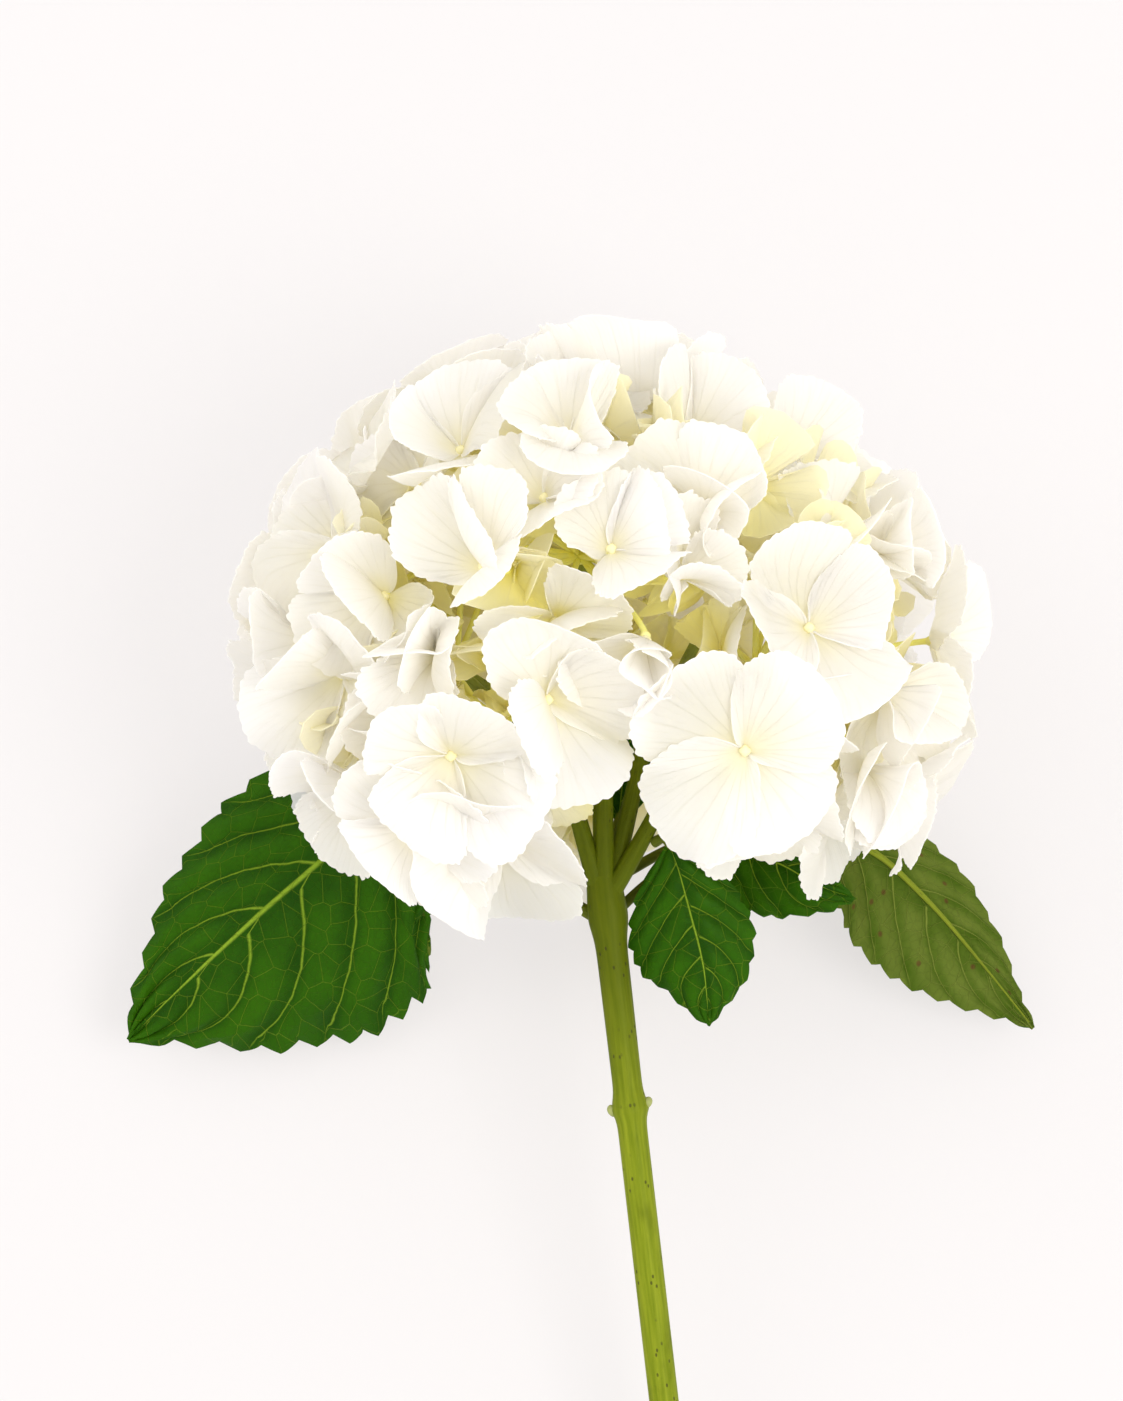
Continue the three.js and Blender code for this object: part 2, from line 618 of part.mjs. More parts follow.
// Spots all over a leaf's blade, for keeping florets away from it.
function leafSamples(leaf) {
  const curve = new THREE.CatmullRomCurve3(leaf.rib.map(vector));
  return [0.1, 0.25, 0.4, 0.55, 0.7, 0.85, 1].flatMap((t) =>
    [-1, -0.5, 0, 0.5, 1].map((s) => leafPoint(leaf, curve, t, s, 0)),
  );
}

function leafSolid(leaf, sleeve) {
  const curve = new THREE.CatmullRomCurve3(leaf.rib.map(vector));
  const rows = [];
  for (let i = 0; i < leaf.teeth; i++) {
    const start = i + TOOTH_START;
    const whole = leaf.teeth + TOOTH_START;
    rows.push([start / whole, 0], [(start + TOOTH_PEAK) / whole, 1]);
  }
  const stations = [-1, -0.5, 0, 0.5, 1];
  const middle = rows.flatMap(([t, tooth]) =>
    stations.map((s) => leafPoint(leaf, curve, t, s, Math.abs(s) === 1 ? tooth : 0)),
  );
  const tip = middle.push(leafPoint(leaf, curve, 1, 0, 0)) - 1;
  const wide = stations.length;
  const last = (rows.length - 1) * wide;
  const triangles = [];
  for (let j = 0; j < wide - 1; j++) {
    for (let a = j; a < last; a += wide) {
      triangles.push([a, a + wide + 1, a + 1], [a, a + wide, a + wide + 1]);
    }
    triangles.push([last + j, tip, last + j + 1]);
  }
  // The rim: up the right edge, over the tip, down the left edge and back along the base.
  const right = rows.map((_, i) => i * wide);
  const left = rows.map((_, i) => (i + 1) * wide - 1).reverse();
  const base = stations.map((_, j) => j).slice(1, -1).reverse();
  const loop = [...right, tip, ...left, ...base];
  const rim = loop.map((corner, i) => [corner, loop[(i + 1) % loop.length]]);
  const { points, faces } = thickSheet(middle, triangles, rim, LEAF_THICKNESS);
  const blade = solidOf(geometryOf(points, faces));
  const end = leaf.blade + PETIOLE_IN_BLADE;
  const line = [0, 0.25, 0.5, 0.75, 1].map((share) => curve.getPointAt(share * end));
  const radiusAt = (share) => PETIOLE_RADIUS - 0.9 * share;
  const petiole = taperedBar(new THREE.CatmullRomCurve3(line), radiusAt, 6, 6);
  return fuse([blade.add(petiole).subtract(sleeve)]);
}

// ---- The whole flower ----
const finish = (color, roughness) => new THREE.MeshStandardMaterial({ color, roughness, metalness: 0 });
const stemGreen = () => finish(0x8aa83a, 0.5);
const leafGreen = () => finish(0x2f6b18, 0.42);
const sepalWhite = () => finish(0xf7f3e4, 0.6);

const flower = new THREE.Group();
flower.name = "flower";
const clusters = fillHead();
Object.keys(HUBS).forEach((name, i) => {
  flower.add(meshOf(`cluster_${name}`, clusterSolid(clusters[i]), sepalWhite()));
});
const sleeve = stemSleeve();
for (const [name, leaf] of Object.entries(LEAVES)) {
  flower.add(meshOf(name, leafSolid(leaf, sleeve), leafGreen()));
}
flower.add(meshOf("stem", stemSolid(), stemGreen()));
flower.rotation.x = LEAN_OF_STEM;

// The origin is under the middle of the whole flower, on the table.
const hydrangea = new THREE.Group();
hydrangea.name = "cut_hydrangea";
hydrangea.add(flower);
hydrangea.updateMatrixWorld(true);
const box = new THREE.Box3().setFromObject(hydrangea, true);
const middle = box.getCenter(new THREE.Vector3());
hydrangea.position.set(-middle.x, -middle.y, -box.min.z);
export default hydrangea;
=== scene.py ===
"""Dresses a cut mophead hydrangea: fine sepals with toothed edges, buds and pedicels in every
cluster, veined leaves and a smooth green stem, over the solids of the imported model.

Shapes are worked out in the flower's own frame, in millimetres: x runs across the flower, y from the
cut end to the crown, z out of the side that ends up on top, and the origin is the whorl, where the
rays leave the stem. to_row lays a finished shape down in the row frame, in metres.
"""

import math

import bpy
import numpy as np
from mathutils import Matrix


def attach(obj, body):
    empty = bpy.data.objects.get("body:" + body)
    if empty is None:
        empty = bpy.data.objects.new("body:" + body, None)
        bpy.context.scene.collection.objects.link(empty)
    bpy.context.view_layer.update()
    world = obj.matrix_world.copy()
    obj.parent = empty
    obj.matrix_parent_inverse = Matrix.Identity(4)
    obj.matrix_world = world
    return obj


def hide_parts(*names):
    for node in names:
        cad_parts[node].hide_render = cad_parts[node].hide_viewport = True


bl_info = {
    "name": "Cut Hydrangea",
    "version": (1, 0, 0),
    "blender": (4, 5, 0),
    "location": "View3D > Sidebar > Hydrangea",
    "description": "Makes a cut mophead hydrangea with its leaves and stem",
    "category": "Add Mesh",
}

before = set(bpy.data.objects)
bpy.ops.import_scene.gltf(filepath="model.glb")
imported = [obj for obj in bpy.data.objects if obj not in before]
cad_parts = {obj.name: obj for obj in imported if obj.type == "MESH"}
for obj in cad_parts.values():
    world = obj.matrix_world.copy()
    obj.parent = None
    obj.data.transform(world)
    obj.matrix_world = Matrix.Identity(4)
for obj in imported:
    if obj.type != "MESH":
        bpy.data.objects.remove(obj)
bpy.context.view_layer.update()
MM = 0.001

# ---- Driving dimensions, as in the part's source (mm) ----
LEAN_OF_STEM = math.radians(13)
STEM_LENGTH = 238
STEM_SIDE_LEAN = math.radians(6.6)
STEM_RADIUS = 3.6
WHORL_HEIGHT = STEM_LENGTH * math.cos(STEM_SIDE_LEAN) * math.sin(LEAN_OF_STEM) + STEM_RADIUS * math.cos(
    LEAN_OF_STEM
)
WHORL_IN_ROW = np.array([5.895, 45.354, 56.691])
CUT_SLANT = math.radians(35)
STEM_TOP_RISE = 3
LEAF_NODE_DROP = 8
BUD_NODE_DROP = 54
RAY_RADIUS = 2.1
TWIG_RADIUS = 1.5
TWIG_BOW = 4
HUB_RADIUS = 2.8
PEDICEL_RADIUS = 0.7
SEPAL_LENGTH = 25
SEED = 29

# ---- How the head is filled ----
HEAD_CORE = np.array([0.0, 56.0, 0.0])
PEDICEL_REACH = 33
IN_DOMES = {"inside": 25, "outside": 18, "margin": 5}
IN_GAPS = {"inside": 19, "outside": 19, "margin": 2}
TIP = 0.2
SKIRT = 18
ROOM_FOR_LEAVES = 22
THROAT = np.array([3.0, 18.0, 40.0])
THROAT_RADIUS = 30
THIN_AT_BACK = 0.3
BROAD_AT_BACK = 0.3
FULLY_BEHIND = 40
HEAD_HALVES = np.array([70.0, 58.0, 62.0])
HEAD_SKIN = HEAD_HALVES + 16
SKIN_LIMIT = 1.16  # in halves of the skin
SKIN_SOFTNESS = 0.15
WALL_SLACK = 7
WALL_SOFTNESS = 7
TURN_UP = 0.7
TABLE_CLEARANCE = 4
TABLE_SOFTNESS = 6
LAYER_LIFT = 4
LAYER_SOFTNESS = 6
FLORET_LEAN = 0.36  # how far a floret may lean aside
ELBOW_DROP = 5

# Where the first rays fork, and the hubs that the second rays end at, each with its fork.
FORKS = {
    "left": (-9, 27, 6),
    "middle": (0, 34, 8),
    "inner_right": (9, 32, 1),
    "right": (14, 21, 7),
    "back": (-1, 24, -13),
}
HUBS = {
    "crown": ((-6, 80, 28), "middle"),
    "low_right": ((38, 38, 28), "right"),
    "low_left": ((-26, 38, 28), "left"),
    "left": ((-53, 66, 12), "left"),
    "right": ((56, 56, -2), "right"),
    "crown_right": ((34, 80, 12), "inner_right"),
    "crown_left": ((-36, 86, -6), "left"),
    "crown_back": ((0, 92, -22), "inner_right"),
    "back_left": ((-37, 54, -30), "back"),
    "back_right": ((38, 54, -30), "back"),
    "back": ((0, 48, -38), "back"),
}

# Florets that set the head's character: place, heading and lean of the face, spin of the four sepals
# (degrees), size, and how far the sepals stand up round the bud (radians).
SHOW_FLORETS = [
    (32, 34, 62, 300, 8, 44, 1.1, 0),
    (47, 62, 52, 45, 35, 20, 1, 0.1),
    (34, 22, 44, 270, 55, 20, 0.9, 0.15),
    (61, 30, 32, 300, 50, 10, 1, 0.4),
    (66, 48, 32, 350, 50, 0, 1, 0.3),
    (65, 81, 20, 40, 45, 55, 0.95, 0.5),
    (9, 60, 64, 285, 25, 48, 0.95, 0.3),
    (1, 80, 66, 60, 25, 30, 0.9, 0.6),
    (-28, 76, 62, 140, 25, 50, 1, 0.5),
    (-12, 64, 55, 240, 20, 30, 0.95, 0.3),
    (-9, 105, 48, 90, 55, 0, 1, 0.2),
    (-34, 104, 34, 120, 55, 20, 1, 0.15),
    (-57, 98, 5, 140, 65, 0, 1, 0.2),
    (-64, 82, 14, 160, 55, 45, 0.95, 0.2),
    (-52, 70, 38, 165, 40, 40, 0.95, 0.3),
    (-71, 60, 14, 190, 65, 20, 0.9, 0.2),
    (-62, 52, 32, 195, 45, 30, 1, 0.2),
    (-36, 33, 58, 230, 30, 50, 1, 0.15),
    (-26, 14, 44, 255, 55, 5, 1.1, 0.1),
    (-16, 29, 48, 300, 45, 30, 0.8, 0.5),
    (-14, 46, 62, 320, 20, 22, 0.95, 0.3),
    (-39, 56, 52, 130, 30, 70, 0.85, 0.4),
    (22, 89, 50, 50, 30, 48, 1, 0.4),
    (20, 106, 26, 85, 60, 30, 0.95, 0.2),
    (9, 118, 5, 90, 70, 0, 1, 0.1),
    (-14, 121, -5, 100, 70, 45, 0.9, 0.3),
    (44, 104, 0, 50, 65, 20, 1, 0.2),
    (33, 74, 36, 70, 25, 0, 0.8, 0.6),
    (51, 84, 30, 60, 45, 10, 0.8, 0.5),
    (80, 60, 0, 0, 70, 45, 1, 0.1),
    (71, 24, 12, 315, 65, 20, 0.95, 0.2),
    (-76, 47, -8, 190, 80, 30, 0.8, 0.2),
    (-58, 26, 30, 225, 55, 40, 0.95, 0.2),
    (-44, 16, 44, 240, 50, 10, 0.95, 0.2),
    (-46, 41, 40, 200, 40, 0, 0.8, 0.3),
    (27, 56, 46, 100, 30, 0, 0.75, 0.5),
    (-14, 92, 58, 110, 25, 20, 0.8, 0.7),
    (17, 74, 58, 20, 30, 10, 0.75, 0.5),
    (-44, 97, 17, 125, 50, 0, 0.8, 0.3),
]

# Leaves, with the same fields as in the source, and the look of each one's veins: how many side veins
# leave the rib.
LEAVES = {
    "leaf_left": {
        "rib": [
            (-1, -8, -1), (-14, 0, -5), (-27, 13, -12), (-42, 19, -17), (-59, 14, -19), (-77, 0, -20),
            (-98, -19, -24), (-119, -39.5, -31),
        ],
        "blade": 0.15, "face": (0.05, -0.1, 1), "half": (46, 26), "outline": (0.93, 0.6),
        "fold": (-4, -8), "curl": (-16, -14), "teeth": 15, "veins": 7.5,
    },
    "leaf_middle": {
        "rib": [(12, 11, 5), (14.5, 12, 7), (17, 7, 8.5), (20.5, -5, 8), (24, -19, 6), (25.5, -34, 1)],
        "blade": 0.1, "face": (-0.1, 0.1, 1), "half": (14, 17), "outline": (0.92, 0.68),
        "fold": (-8, -6), "curl": (-14, -14), "teeth": 9, "veins": 6,
    },
    "leaf_folded": {
        "rib": [
            (1, -8, -1), (11, 1, -6), (23, 9.5, -10), (34, 9, -11), (44, 5, -11), (53, 0, -12),
            (62.5, -3.5, -15),
        ],
        "blade": 0.4, "face": (0.1, 0.25, 1), "half": (13, 17), "outline": (0.66, 0.85),
        "fold": (-4, 10), "curl": (-12, 14), "teeth": 8, "veins": 5.5,
    },
    "leaf_right": {
        "rib": [
            (1, 1, -3), (22, 11, -16), (48, 14, -26), (66, 8, -28), (80, -4, -30), (95, -21, -34),
            (108, -37, -37),
        ],
        "blade": 0.42, "face": (-0.3, -0.2, -1), "half": (19.5, 13.5), "outline": (0.76, 0.75),
        "fold": (6, 4), "curl": (14, 10), "teeth": 11, "veins": 6.5,
    },
    "leaf_bract": {
        "rib": [(0, 3, -3), (3, 14, -7), (5, 30, -10), (6, 50, -11)],
        "blade": 0.3, "face": (-0.1, 0, 1), "half": (8, 8), "outline": (0.66, 0.85),
        "fold": (6, 6), "curl": (8, 8), "teeth": 6, "veins": 5,
    },
}
TOOTH_PEAK = 0.72
TOOTH_DEPTH = 0.07
TOOTH_START = 0.15
LEAF_SWEEP = 0.16
TIP_DRAWN_OUT = 0.4
PETIOLE_RADIUS = 1.6


# ---- Small maths ----
def unit(vectors):
    """Each vector over its own length."""
    vectors = np.asarray(vectors, float)
    return vectors / np.maximum(np.linalg.norm(vectors, axis=-1, keepdims=True), 1e-12)


def smooth(low, high, x):
    """0 below low, 1 above high, and a cubic ease between them."""
    t = np.clip((np.asarray(x, float) - low) / (high - low), 0, 1)
    return t * t * (3 - 2 * t)


def soft_stop(x, limit, softness):
    """x until softness before the limit, then an exponential that closes on the limit."""
    over = np.asarray(x, float) - (limit - softness)
    return np.where(over <= 0, x, limit - softness * np.exp(-np.maximum(over, 0) / softness))


UP = np.array([0, math.sin(LEAN_OF_STEM), math.cos(LEAN_OF_STEM)])


def height_of(points):
    """Height over the table of points in the flower's own frame."""
    return points @ UP + WHORL_HEIGHT


def to_row(points):
    """Lays the flower down: a turn by the stem's lean about x, then a shift to the row frame."""
    cos, sin = math.cos(LEAN_OF_STEM), math.sin(LEAN_OF_STEM)
    x, y, z = np.moveaxis(np.asarray(points, float), -1, 0)
    turned = np.stack([x, y * cos - z * sin, y * sin + z * cos], axis=-1)
    return (turned + WHORL_IN_ROW) * MM


class Draw:
    """A seeded draw between two numbers, the same on every run."""

    def __init__(self, seed):
        self.state = seed

    def __call__(self, low, high):
        self.state = (self.state * 1664525 + 1013904223) % 2**32
        return low + (high - low) * self.state / 2**32


class Curve:
    """A smooth curve through points, a centripetal Catmull-Rom spline, looked up by the share of its
    length."""

    def __init__(self, points):
        points = np.array(points, float)
        first, last = 2 * points[0] - points[1], 2 * points[-1] - points[-2]
        self.points = np.concatenate([[first], points, [last]])
        self.spans = len(points) - 1
        self.table = np.linspace(0, 1, 201)
        steps = np.linalg.norm(np.diff(self.raw(self.table), axis=0), axis=1)
        self.lengths = np.concatenate([[0], np.cumsum(steps)])

    def raw(self, t):
        """Position at parameter t: four neighbouring points joined by a cubic whose end slopes come
        from the square roots of their distances."""
        place = np.asarray(t, float) * self.spans
        i = np.minimum(np.floor(place).astype(int), self.spans - 1)
        w = (place - i)[..., None]
        p0, p1, p2, p3 = (self.points[i + k] for k in range(4))
        d0, d1, d2 = (
            np.sqrt(np.linalg.norm(b - a, axis=-1))[..., None] for a, b in ((p0, p1), (p1, p2), (p2, p3))
        )
        s1 = ((p1 - p0) / d0 - (p2 - p0) / (d0 + d1) + (p2 - p1) / d1) * d1
        s2 = ((p2 - p1) / d1 - (p3 - p1) / (d1 + d2) + (p3 - p2) / d2) * d1
        square = -3 * p1 + 3 * p2 - 2 * s1 - s2
        cube = 2 * p1 - 2 * p2 + s1 + s2
        return p1 + w * (s1 + w * (square + w * cube))

    def parameter(self, share):
        return np.interp(share, self.lengths / self.lengths[-1], self.table)

    def at(self, share):
        return self.raw(self.parameter(share))

    def tangent(self, share):
        t = self.parameter(share)
        return unit(self.raw(np.minimum(1, t + 1e-4)) - self.raw(np.maximum(0, t - 1e-4)))


def bent(start, control, end, count):
    """Points of a quadratic Bezier curve."""
    t = np.linspace(0, 1, count)[:, None]
    return (1 - t) ** 2 * start + 2 * t * (1 - t) * control + t**2 * end


# ---- Mesh building ----
CREASE = math.radians(50)  # edges that turn by more stay sharp


class Patch:
    """A piece of closed mesh: points, triangles, two texture coordinates for each point (along the
    pattern, and marks that tell the material about the place), and a material number."""

    def __init__(self, points, triangles, pattern, marks, material=0):
        self.points = np.asarray(points, float).reshape(-1, 3)
        self.triangles = np.asarray(triangles, int)
        count = len(self.points)
        self.pattern = np.broadcast_to(np.asarray(pattern, float), (count, 2))
        self.marks = np.broadcast_to(np.asarray(marks, float), (count, 2))
        self.material = np.broadcast_to(material, len(self.triangles))


def grid_triangles(rows, columns, wrap=False):
    """Two triangles for each cell of a grid of points, with the last column joined to the first where
    it wraps. Seen with rows going up and columns going right, they run counter-clockwise."""
    i = np.arange(rows - 1)[:, None]
    j = np.arange(columns if wrap else columns - 1)[None, :]
    a = i * columns + j
    b = i * columns + (j + 1) % columns
    c, d = b + columns, a + columns
    return np.stack([np.stack([a, b, c], -1), np.stack([a, c, d], -1)], 2).reshape(-1, 3)


def point_normals(points, triangles):
    """Area-weighted normals of an open surface."""
    a, b, c = (points[triangles[:, k]] for k in range(3))
    facing = np.cross(b - a, c - a)
    normals = np.zeros_like(points)
    for k in range(3):
        np.add.at(normals, triangles[:, k], facing)
    return unit(normals)


def thick_sheet(middle, triangles, rim, thickness, pattern, marks, materials=(0, 0)):
    """A closed sheet: the surface offset by half its thickness to each side, and a wall along the rim,
    which runs the way the triangles do. materials are for the upper face with the wall, and the lower
    face."""
    normals = point_normals(middle, triangles)
    count = len(middle)
    points = np.concatenate([middle + normals * thickness / 2, middle - normals * thickness / 2])
    a, b = np.asarray(rim), np.roll(rim, -1)
    wall = np.concatenate(
        [np.stack([a, a + count, b + count], 1), np.stack([a, b + count, b], 1)]
    )
    faces = np.concatenate([triangles, wall, triangles[:, ::-1] + count])
    numbers = np.repeat([materials[0], materials[1]], [len(triangles) + len(wall), len(triangles)])
    marks = np.broadcast_to(marks, (count, 2))
    return Patch(points, faces, np.tile(pattern, (2, 1)), np.tile(marks, (2, 1)), numbers)


def tube(path, radii, sides, marks=(0, 0), material=0, end=None):
    """A round bar along a path: at each path point a ring of its radius, square to the path, turned as
    little as possible from ring to ring, and a cap at each end. end moves the last ring's points.
    The pattern coordinates are the turn round the bar and the length along it in centimetres."""
    path = np.asarray(path, float)
    radii = np.broadcast_to(radii, len(path))
    along = unit(np.gradient(path, axis=0))
    normal = np.empty_like(path)
    guide = np.array([0, 0, 1.0]) if abs(along[0][2]) < 0.9 else np.array([1.0, 0, 0])
    for i, direction in enumerate(along):
        guide = unit(guide - direction * (guide @ direction))
        normal[i] = guide
    turn = np.linspace(0, 2 * np.pi, sides, endpoint=False)
    other = np.cross(along, normal)
    spokes = normal[:, None] * np.cos(turn)[None, :, None] + other[:, None] * np.sin(turn)[None, :, None]
    rings = path[:, None] + spokes * radii[:, None, None]
    if end is not None:
        rings = end(rings)
    rows = len(path)
    centres = [rings[0].mean(0), rings[-1].mean(0)]
    points = np.concatenate([rings.reshape(-1, 3), centres])
    k = np.arange(sides)
    after = (k + 1) % sides
    last = (rows - 1) * sides
    bottom = np.stack([np.full(sides, rows * sides), after, k], 1)
    top = np.stack([np.full(sides, rows * sides + 1), last + k, last + after], 1)
    faces = np.concatenate([grid_triangles(rows, sides, wrap=True), bottom, top])
    length = np.concatenate([[0], np.cumsum(np.linalg.norm(np.diff(path, axis=0), axis=1))]) / 10
    pattern = np.stack(np.broadcast_arrays(turn[None, :] / (2 * np.pi), length[:, None]), -1)
    ends = [[0.5, length[0]], [0.5, length[-1]]]
    pattern = np.concatenate([pattern.reshape(-1, 2), ends])
    return Patch(points, faces, pattern, marks, material)


def blob(centre, axis, radius, tall, lobes, depth, marks=(0, 0), material=0, rows=9, columns=24):
    """A lobed ball: a sphere whose radius swells by depth along its lobes, drawn out along its axis.
    The poles are single points."""
    axis = unit(axis)
    side = unit(np.cross(axis, [0, 1, 0] if abs(axis[1]) < 0.9 else [1, 0, 0]))
    other = np.cross(axis, side)
    down = np.linspace(0, np.pi, rows)[1:-1, None]
    turn = np.linspace(0, 2 * np.pi, columns, endpoint=False)[None, :]
    swell = radius * (1 + depth * (np.abs(np.cos(lobes * turn / 2)) - 0.6) * np.sin(down))
    out = (swell * np.sin(down))[..., None]
    up = (radius * tall * np.cos(down) + 0 * turn)[..., None]
    ring = centre + out * (side * np.cos(turn)[..., None] + other * np.sin(turn)[..., None]) + up * axis
    top, bottom = centre + axis * radius * tall, centre - axis * radius * tall
    points = np.concatenate([ring.reshape(-1, 3), [top, bottom]])
    k = np.arange(columns)
    after = (k + 1) % columns
    count = (rows - 2) * columns
    last = count - columns
    faces = np.concatenate(
        [
            grid_triangles(rows - 2, columns, wrap=True)[:, ::-1],
            np.stack([np.full(columns, count), k, after], 1),
            np.stack([np.full(columns, count + 1), last + after, last + k], 1),
        ]
    )
    return Patch(points, faces, (0.5, 0), marks, material)


def make_piece(name, patches, materials, replaced):
    """Joins patches into one mesh object at the origin, and gives it to the frame."""
    starts = np.cumsum([0] + [len(p.points) for p in patches])
    points = to_row(np.concatenate([p.points for p in patches]))
    faces = np.concatenate([p.triangles + start for p, start in zip(patches, starts)])
    numbers = np.concatenate([p.material for p in patches])
    mesh = bpy.data.meshes.new(name)
    mesh.vertices.add(len(points))
    mesh.vertices.foreach_set("co", points.ravel())
    mesh.loops.add(faces.size)
    mesh.loops.foreach_set("vertex_index", faces.ravel().astype(np.int32))
    mesh.polygons.add(len(faces))
    mesh.polygons.foreach_set("loop_start", np.arange(0, faces.size, 3, dtype=np.int32))
    for material in materials:
        mesh.materials.append(material)
    mesh.update(calc_edges=True)
    mesh.validate()
    mesh.polygons.foreach_set("material_index", numbers.astype(np.int32))
    for layer in ("pattern", "marks"):
        per_point = np.concatenate([getattr(p, layer) for p in patches])
        mesh.uv_layers.new(name=layer).data.foreach_set("uv", per_point[faces.ravel()].ravel())
    mesh.polygons.foreach_set("use_smooth", np.ones(len(faces), bool))
    mesh.set_sharp_from_angle(angle=CREASE)
    piece = bpy.data.objects.new(name, mesh)
    bpy.context.collection.objects.link(piece)
    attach(piece, "root")
    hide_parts(*replaced)
    return piece


# ---- Florets ----
class Floret:
    """Where a floret stands and how its four sepals are set and bent."""

    def __init__(self, draw, at, out, spin, size, cupped):
        self.at, self.out = at, out
        across = (0, 1, 0) if abs(out[1]) < 0.9 else (1, 0, 0)
        side = unit(np.cross(across, out))
        rise = np.cross(out, side)
        self.sepals = []
        for k in range(4):
            turn = spin + k * math.pi / 2 + draw(-0.12, 0.12)
            along = side * math.cos(turn) + rise * math.sin(turn)
            self.sepals.append(
                {
                    "along": along,
                    "across": np.cross(out, along),
                    "length": SEPAL_LENGTH * size * draw(0.92, 1.06),
                    "slope": cupped + draw(0, 0.3) + (0 if k % 2 else 0.08),
                    "bend": draw(-0.9, 0.3),
                    "cup": draw(-0.28, 0.22),
                    "twist": draw(-0.22, 0.22),
                }
            )
        self.openness = 1 - min(1, cupped * 2)

    def loosen(self, draw):
        """Leans the floret aside, bends each sepal its own way, and lifts one to three of them well
        up with their tips rolled in, least of all in a floret that is wide open."""
        upward = float(smooth(0, 0.7, self.out[2]))
        amount = (1 - 0.85 * self.openness**2) * (0.3 + 0.7 * upward)
        aside = np.array([draw(-1, 1), draw(-1, 1), draw(-1, 1)])
        self.out = unit(self.out + FLORET_LEAN * amount * aside)
        lifted, more = int(draw(0, 3.999)), draw(0, 1)
        for k, sepal in enumerate(self.sepals):
            sepal["along"] = unit(sepal["along"] - (sepal["along"] @ self.out) * self.out)
            sepal["across"] = np.cross(self.out, sepal["along"])
            past = (k - lifted) % 4
            raised = past == 0 or (past == 1 and more < 0.6) or (past == 2 and more < 0.25)
            sepal["slope"] += amount * (draw(-0.1, 0.35) + (draw(0.45, 1.1) if raised else 0))
            sepal["bend"] += amount * (draw(-0.4, 0.6) + (draw(0, 0.9) if raised else 0))
            sepal["cup"] += amount * draw(-0.2, 0.4)
            sepal["twist"] += amount * draw(-0.35, 0.35)
            sepal["length"] *= 1 + 0.08 * self.openness

    def sheet(self, k, flat):
        """Sepal k's sheet at flat places (mm along and across its own axis): rolled to an arc along
        its axis, with side edges that rise with the square of their distance, and twisted."""
        sepal = self.sepals[k]
        length, slope = sepal["length"], sepal["slope"]
        along, across = flat[:, 0] / length, flat[:, 1] / length
        bend = sepal["bend"] if abs(sepal["bend"]) >= 0.01 else 0.01
        angle = slope + bend * along
        forward = length * (np.sin(angle) - math.sin(slope)) / bend
        up = length * (math.cos(slope) - np.cos(angle)) / bend
        bulge = length * (sepal["cup"] * across * across * 2 + sepal["twist"] * across * along)
        return (
            self.at
            + (forward - bulge * np.sin(angle))[:, None] * sepal["along"]
            + (up + bulge * np.cos(angle))[:, None] * self.out
            + flat[:, 1:] * sepal["across"]
        )


def borders_of(hub, hubs):
    """Planes halfway to each other hub: the direction to it and the distance of the plane."""
    others = [other - hub for other in hubs if other is not hub]
    return unit(others), np.linalg.norm(others, axis=1) / 2


def settle(points, floret, neighbours, cluster):
    """Layers neighbours over and under each other, turns sepals up where they come far into the next
    cluster's cell, draws in what stands far out of the head's ellipsoid, and flattens what would
    reach the table."""
    moved = points.copy()
    for other in neighbours:
        between = other.at - floret.at
        apart = np.linalg.norm(between)
        beyond = (points - floret.at) @ between / apart - apart / 2
        higher = 1 if between @ (floret.out + other.out) < 0 else -1
        lift = higher * LAYER_LIFT * smooth(-LAYER_SOFTNESS, LAYER_SOFTNESS, beyond)
        moved += lift[:, None] * floret.out
    for toward, border in zip(*cluster["borders"]):
        reach = (moved - cluster["hub"]) @ toward
        kept = soft_stop(reach, border + WALL_SLACK, WALL_SOFTNESS)
        moved += (kept - reach)[:, None] * toward + TURN_UP * (reach - kept)[:, None] * floret.out
    from_core = moved - HEAD_CORE
    reach = np.linalg.norm(from_core / HEAD_SKIN, axis=1)
    moved = HEAD_CORE + from_core * (soft_stop(reach, SKIN_LIMIT, SKIN_SOFTNESS) / reach)[:, None]
    height = height_of(moved)
    lifted = -soft_stop(-height, -0.35, TABLE_SOFTNESS)
    return moved + (lifted - height)[:, None] * UP


def neighbours_of(floret, everyone):
    """The other florets whose sepals may meet this one's."""
    near = [other for other in everyone if np.linalg.norm(other.at - floret.at) < 2 * SEPAL_LENGTH]
    return [other for other in near if other is not floret]


def spiral_directions(count):
    """Directions spread evenly over a sphere, on a golden spiral."""
    i = np.arange(count)
    golden = math.pi * (3 - math.sqrt(5))
    tall = 1 - 2 * (i + 0.5) / count
    flat = np.sqrt(1 - tall * tall)
    return np.stack([flat * np.cos(golden * i), tall, flat * np.sin(golden * i)], 1)


def leaf_profile(outline, t):
    """Half-width along a blade as a share of the widest: a sine of the way along it, raised to a
    power that grows toward the tip."""
    widest, pointed = outline
    arch = np.sin(np.pi * np.clip(t, 0, 1) ** widest)
    return np.maximum(0, arch) ** (pointed + TIP_DRAWN_OUT * t)


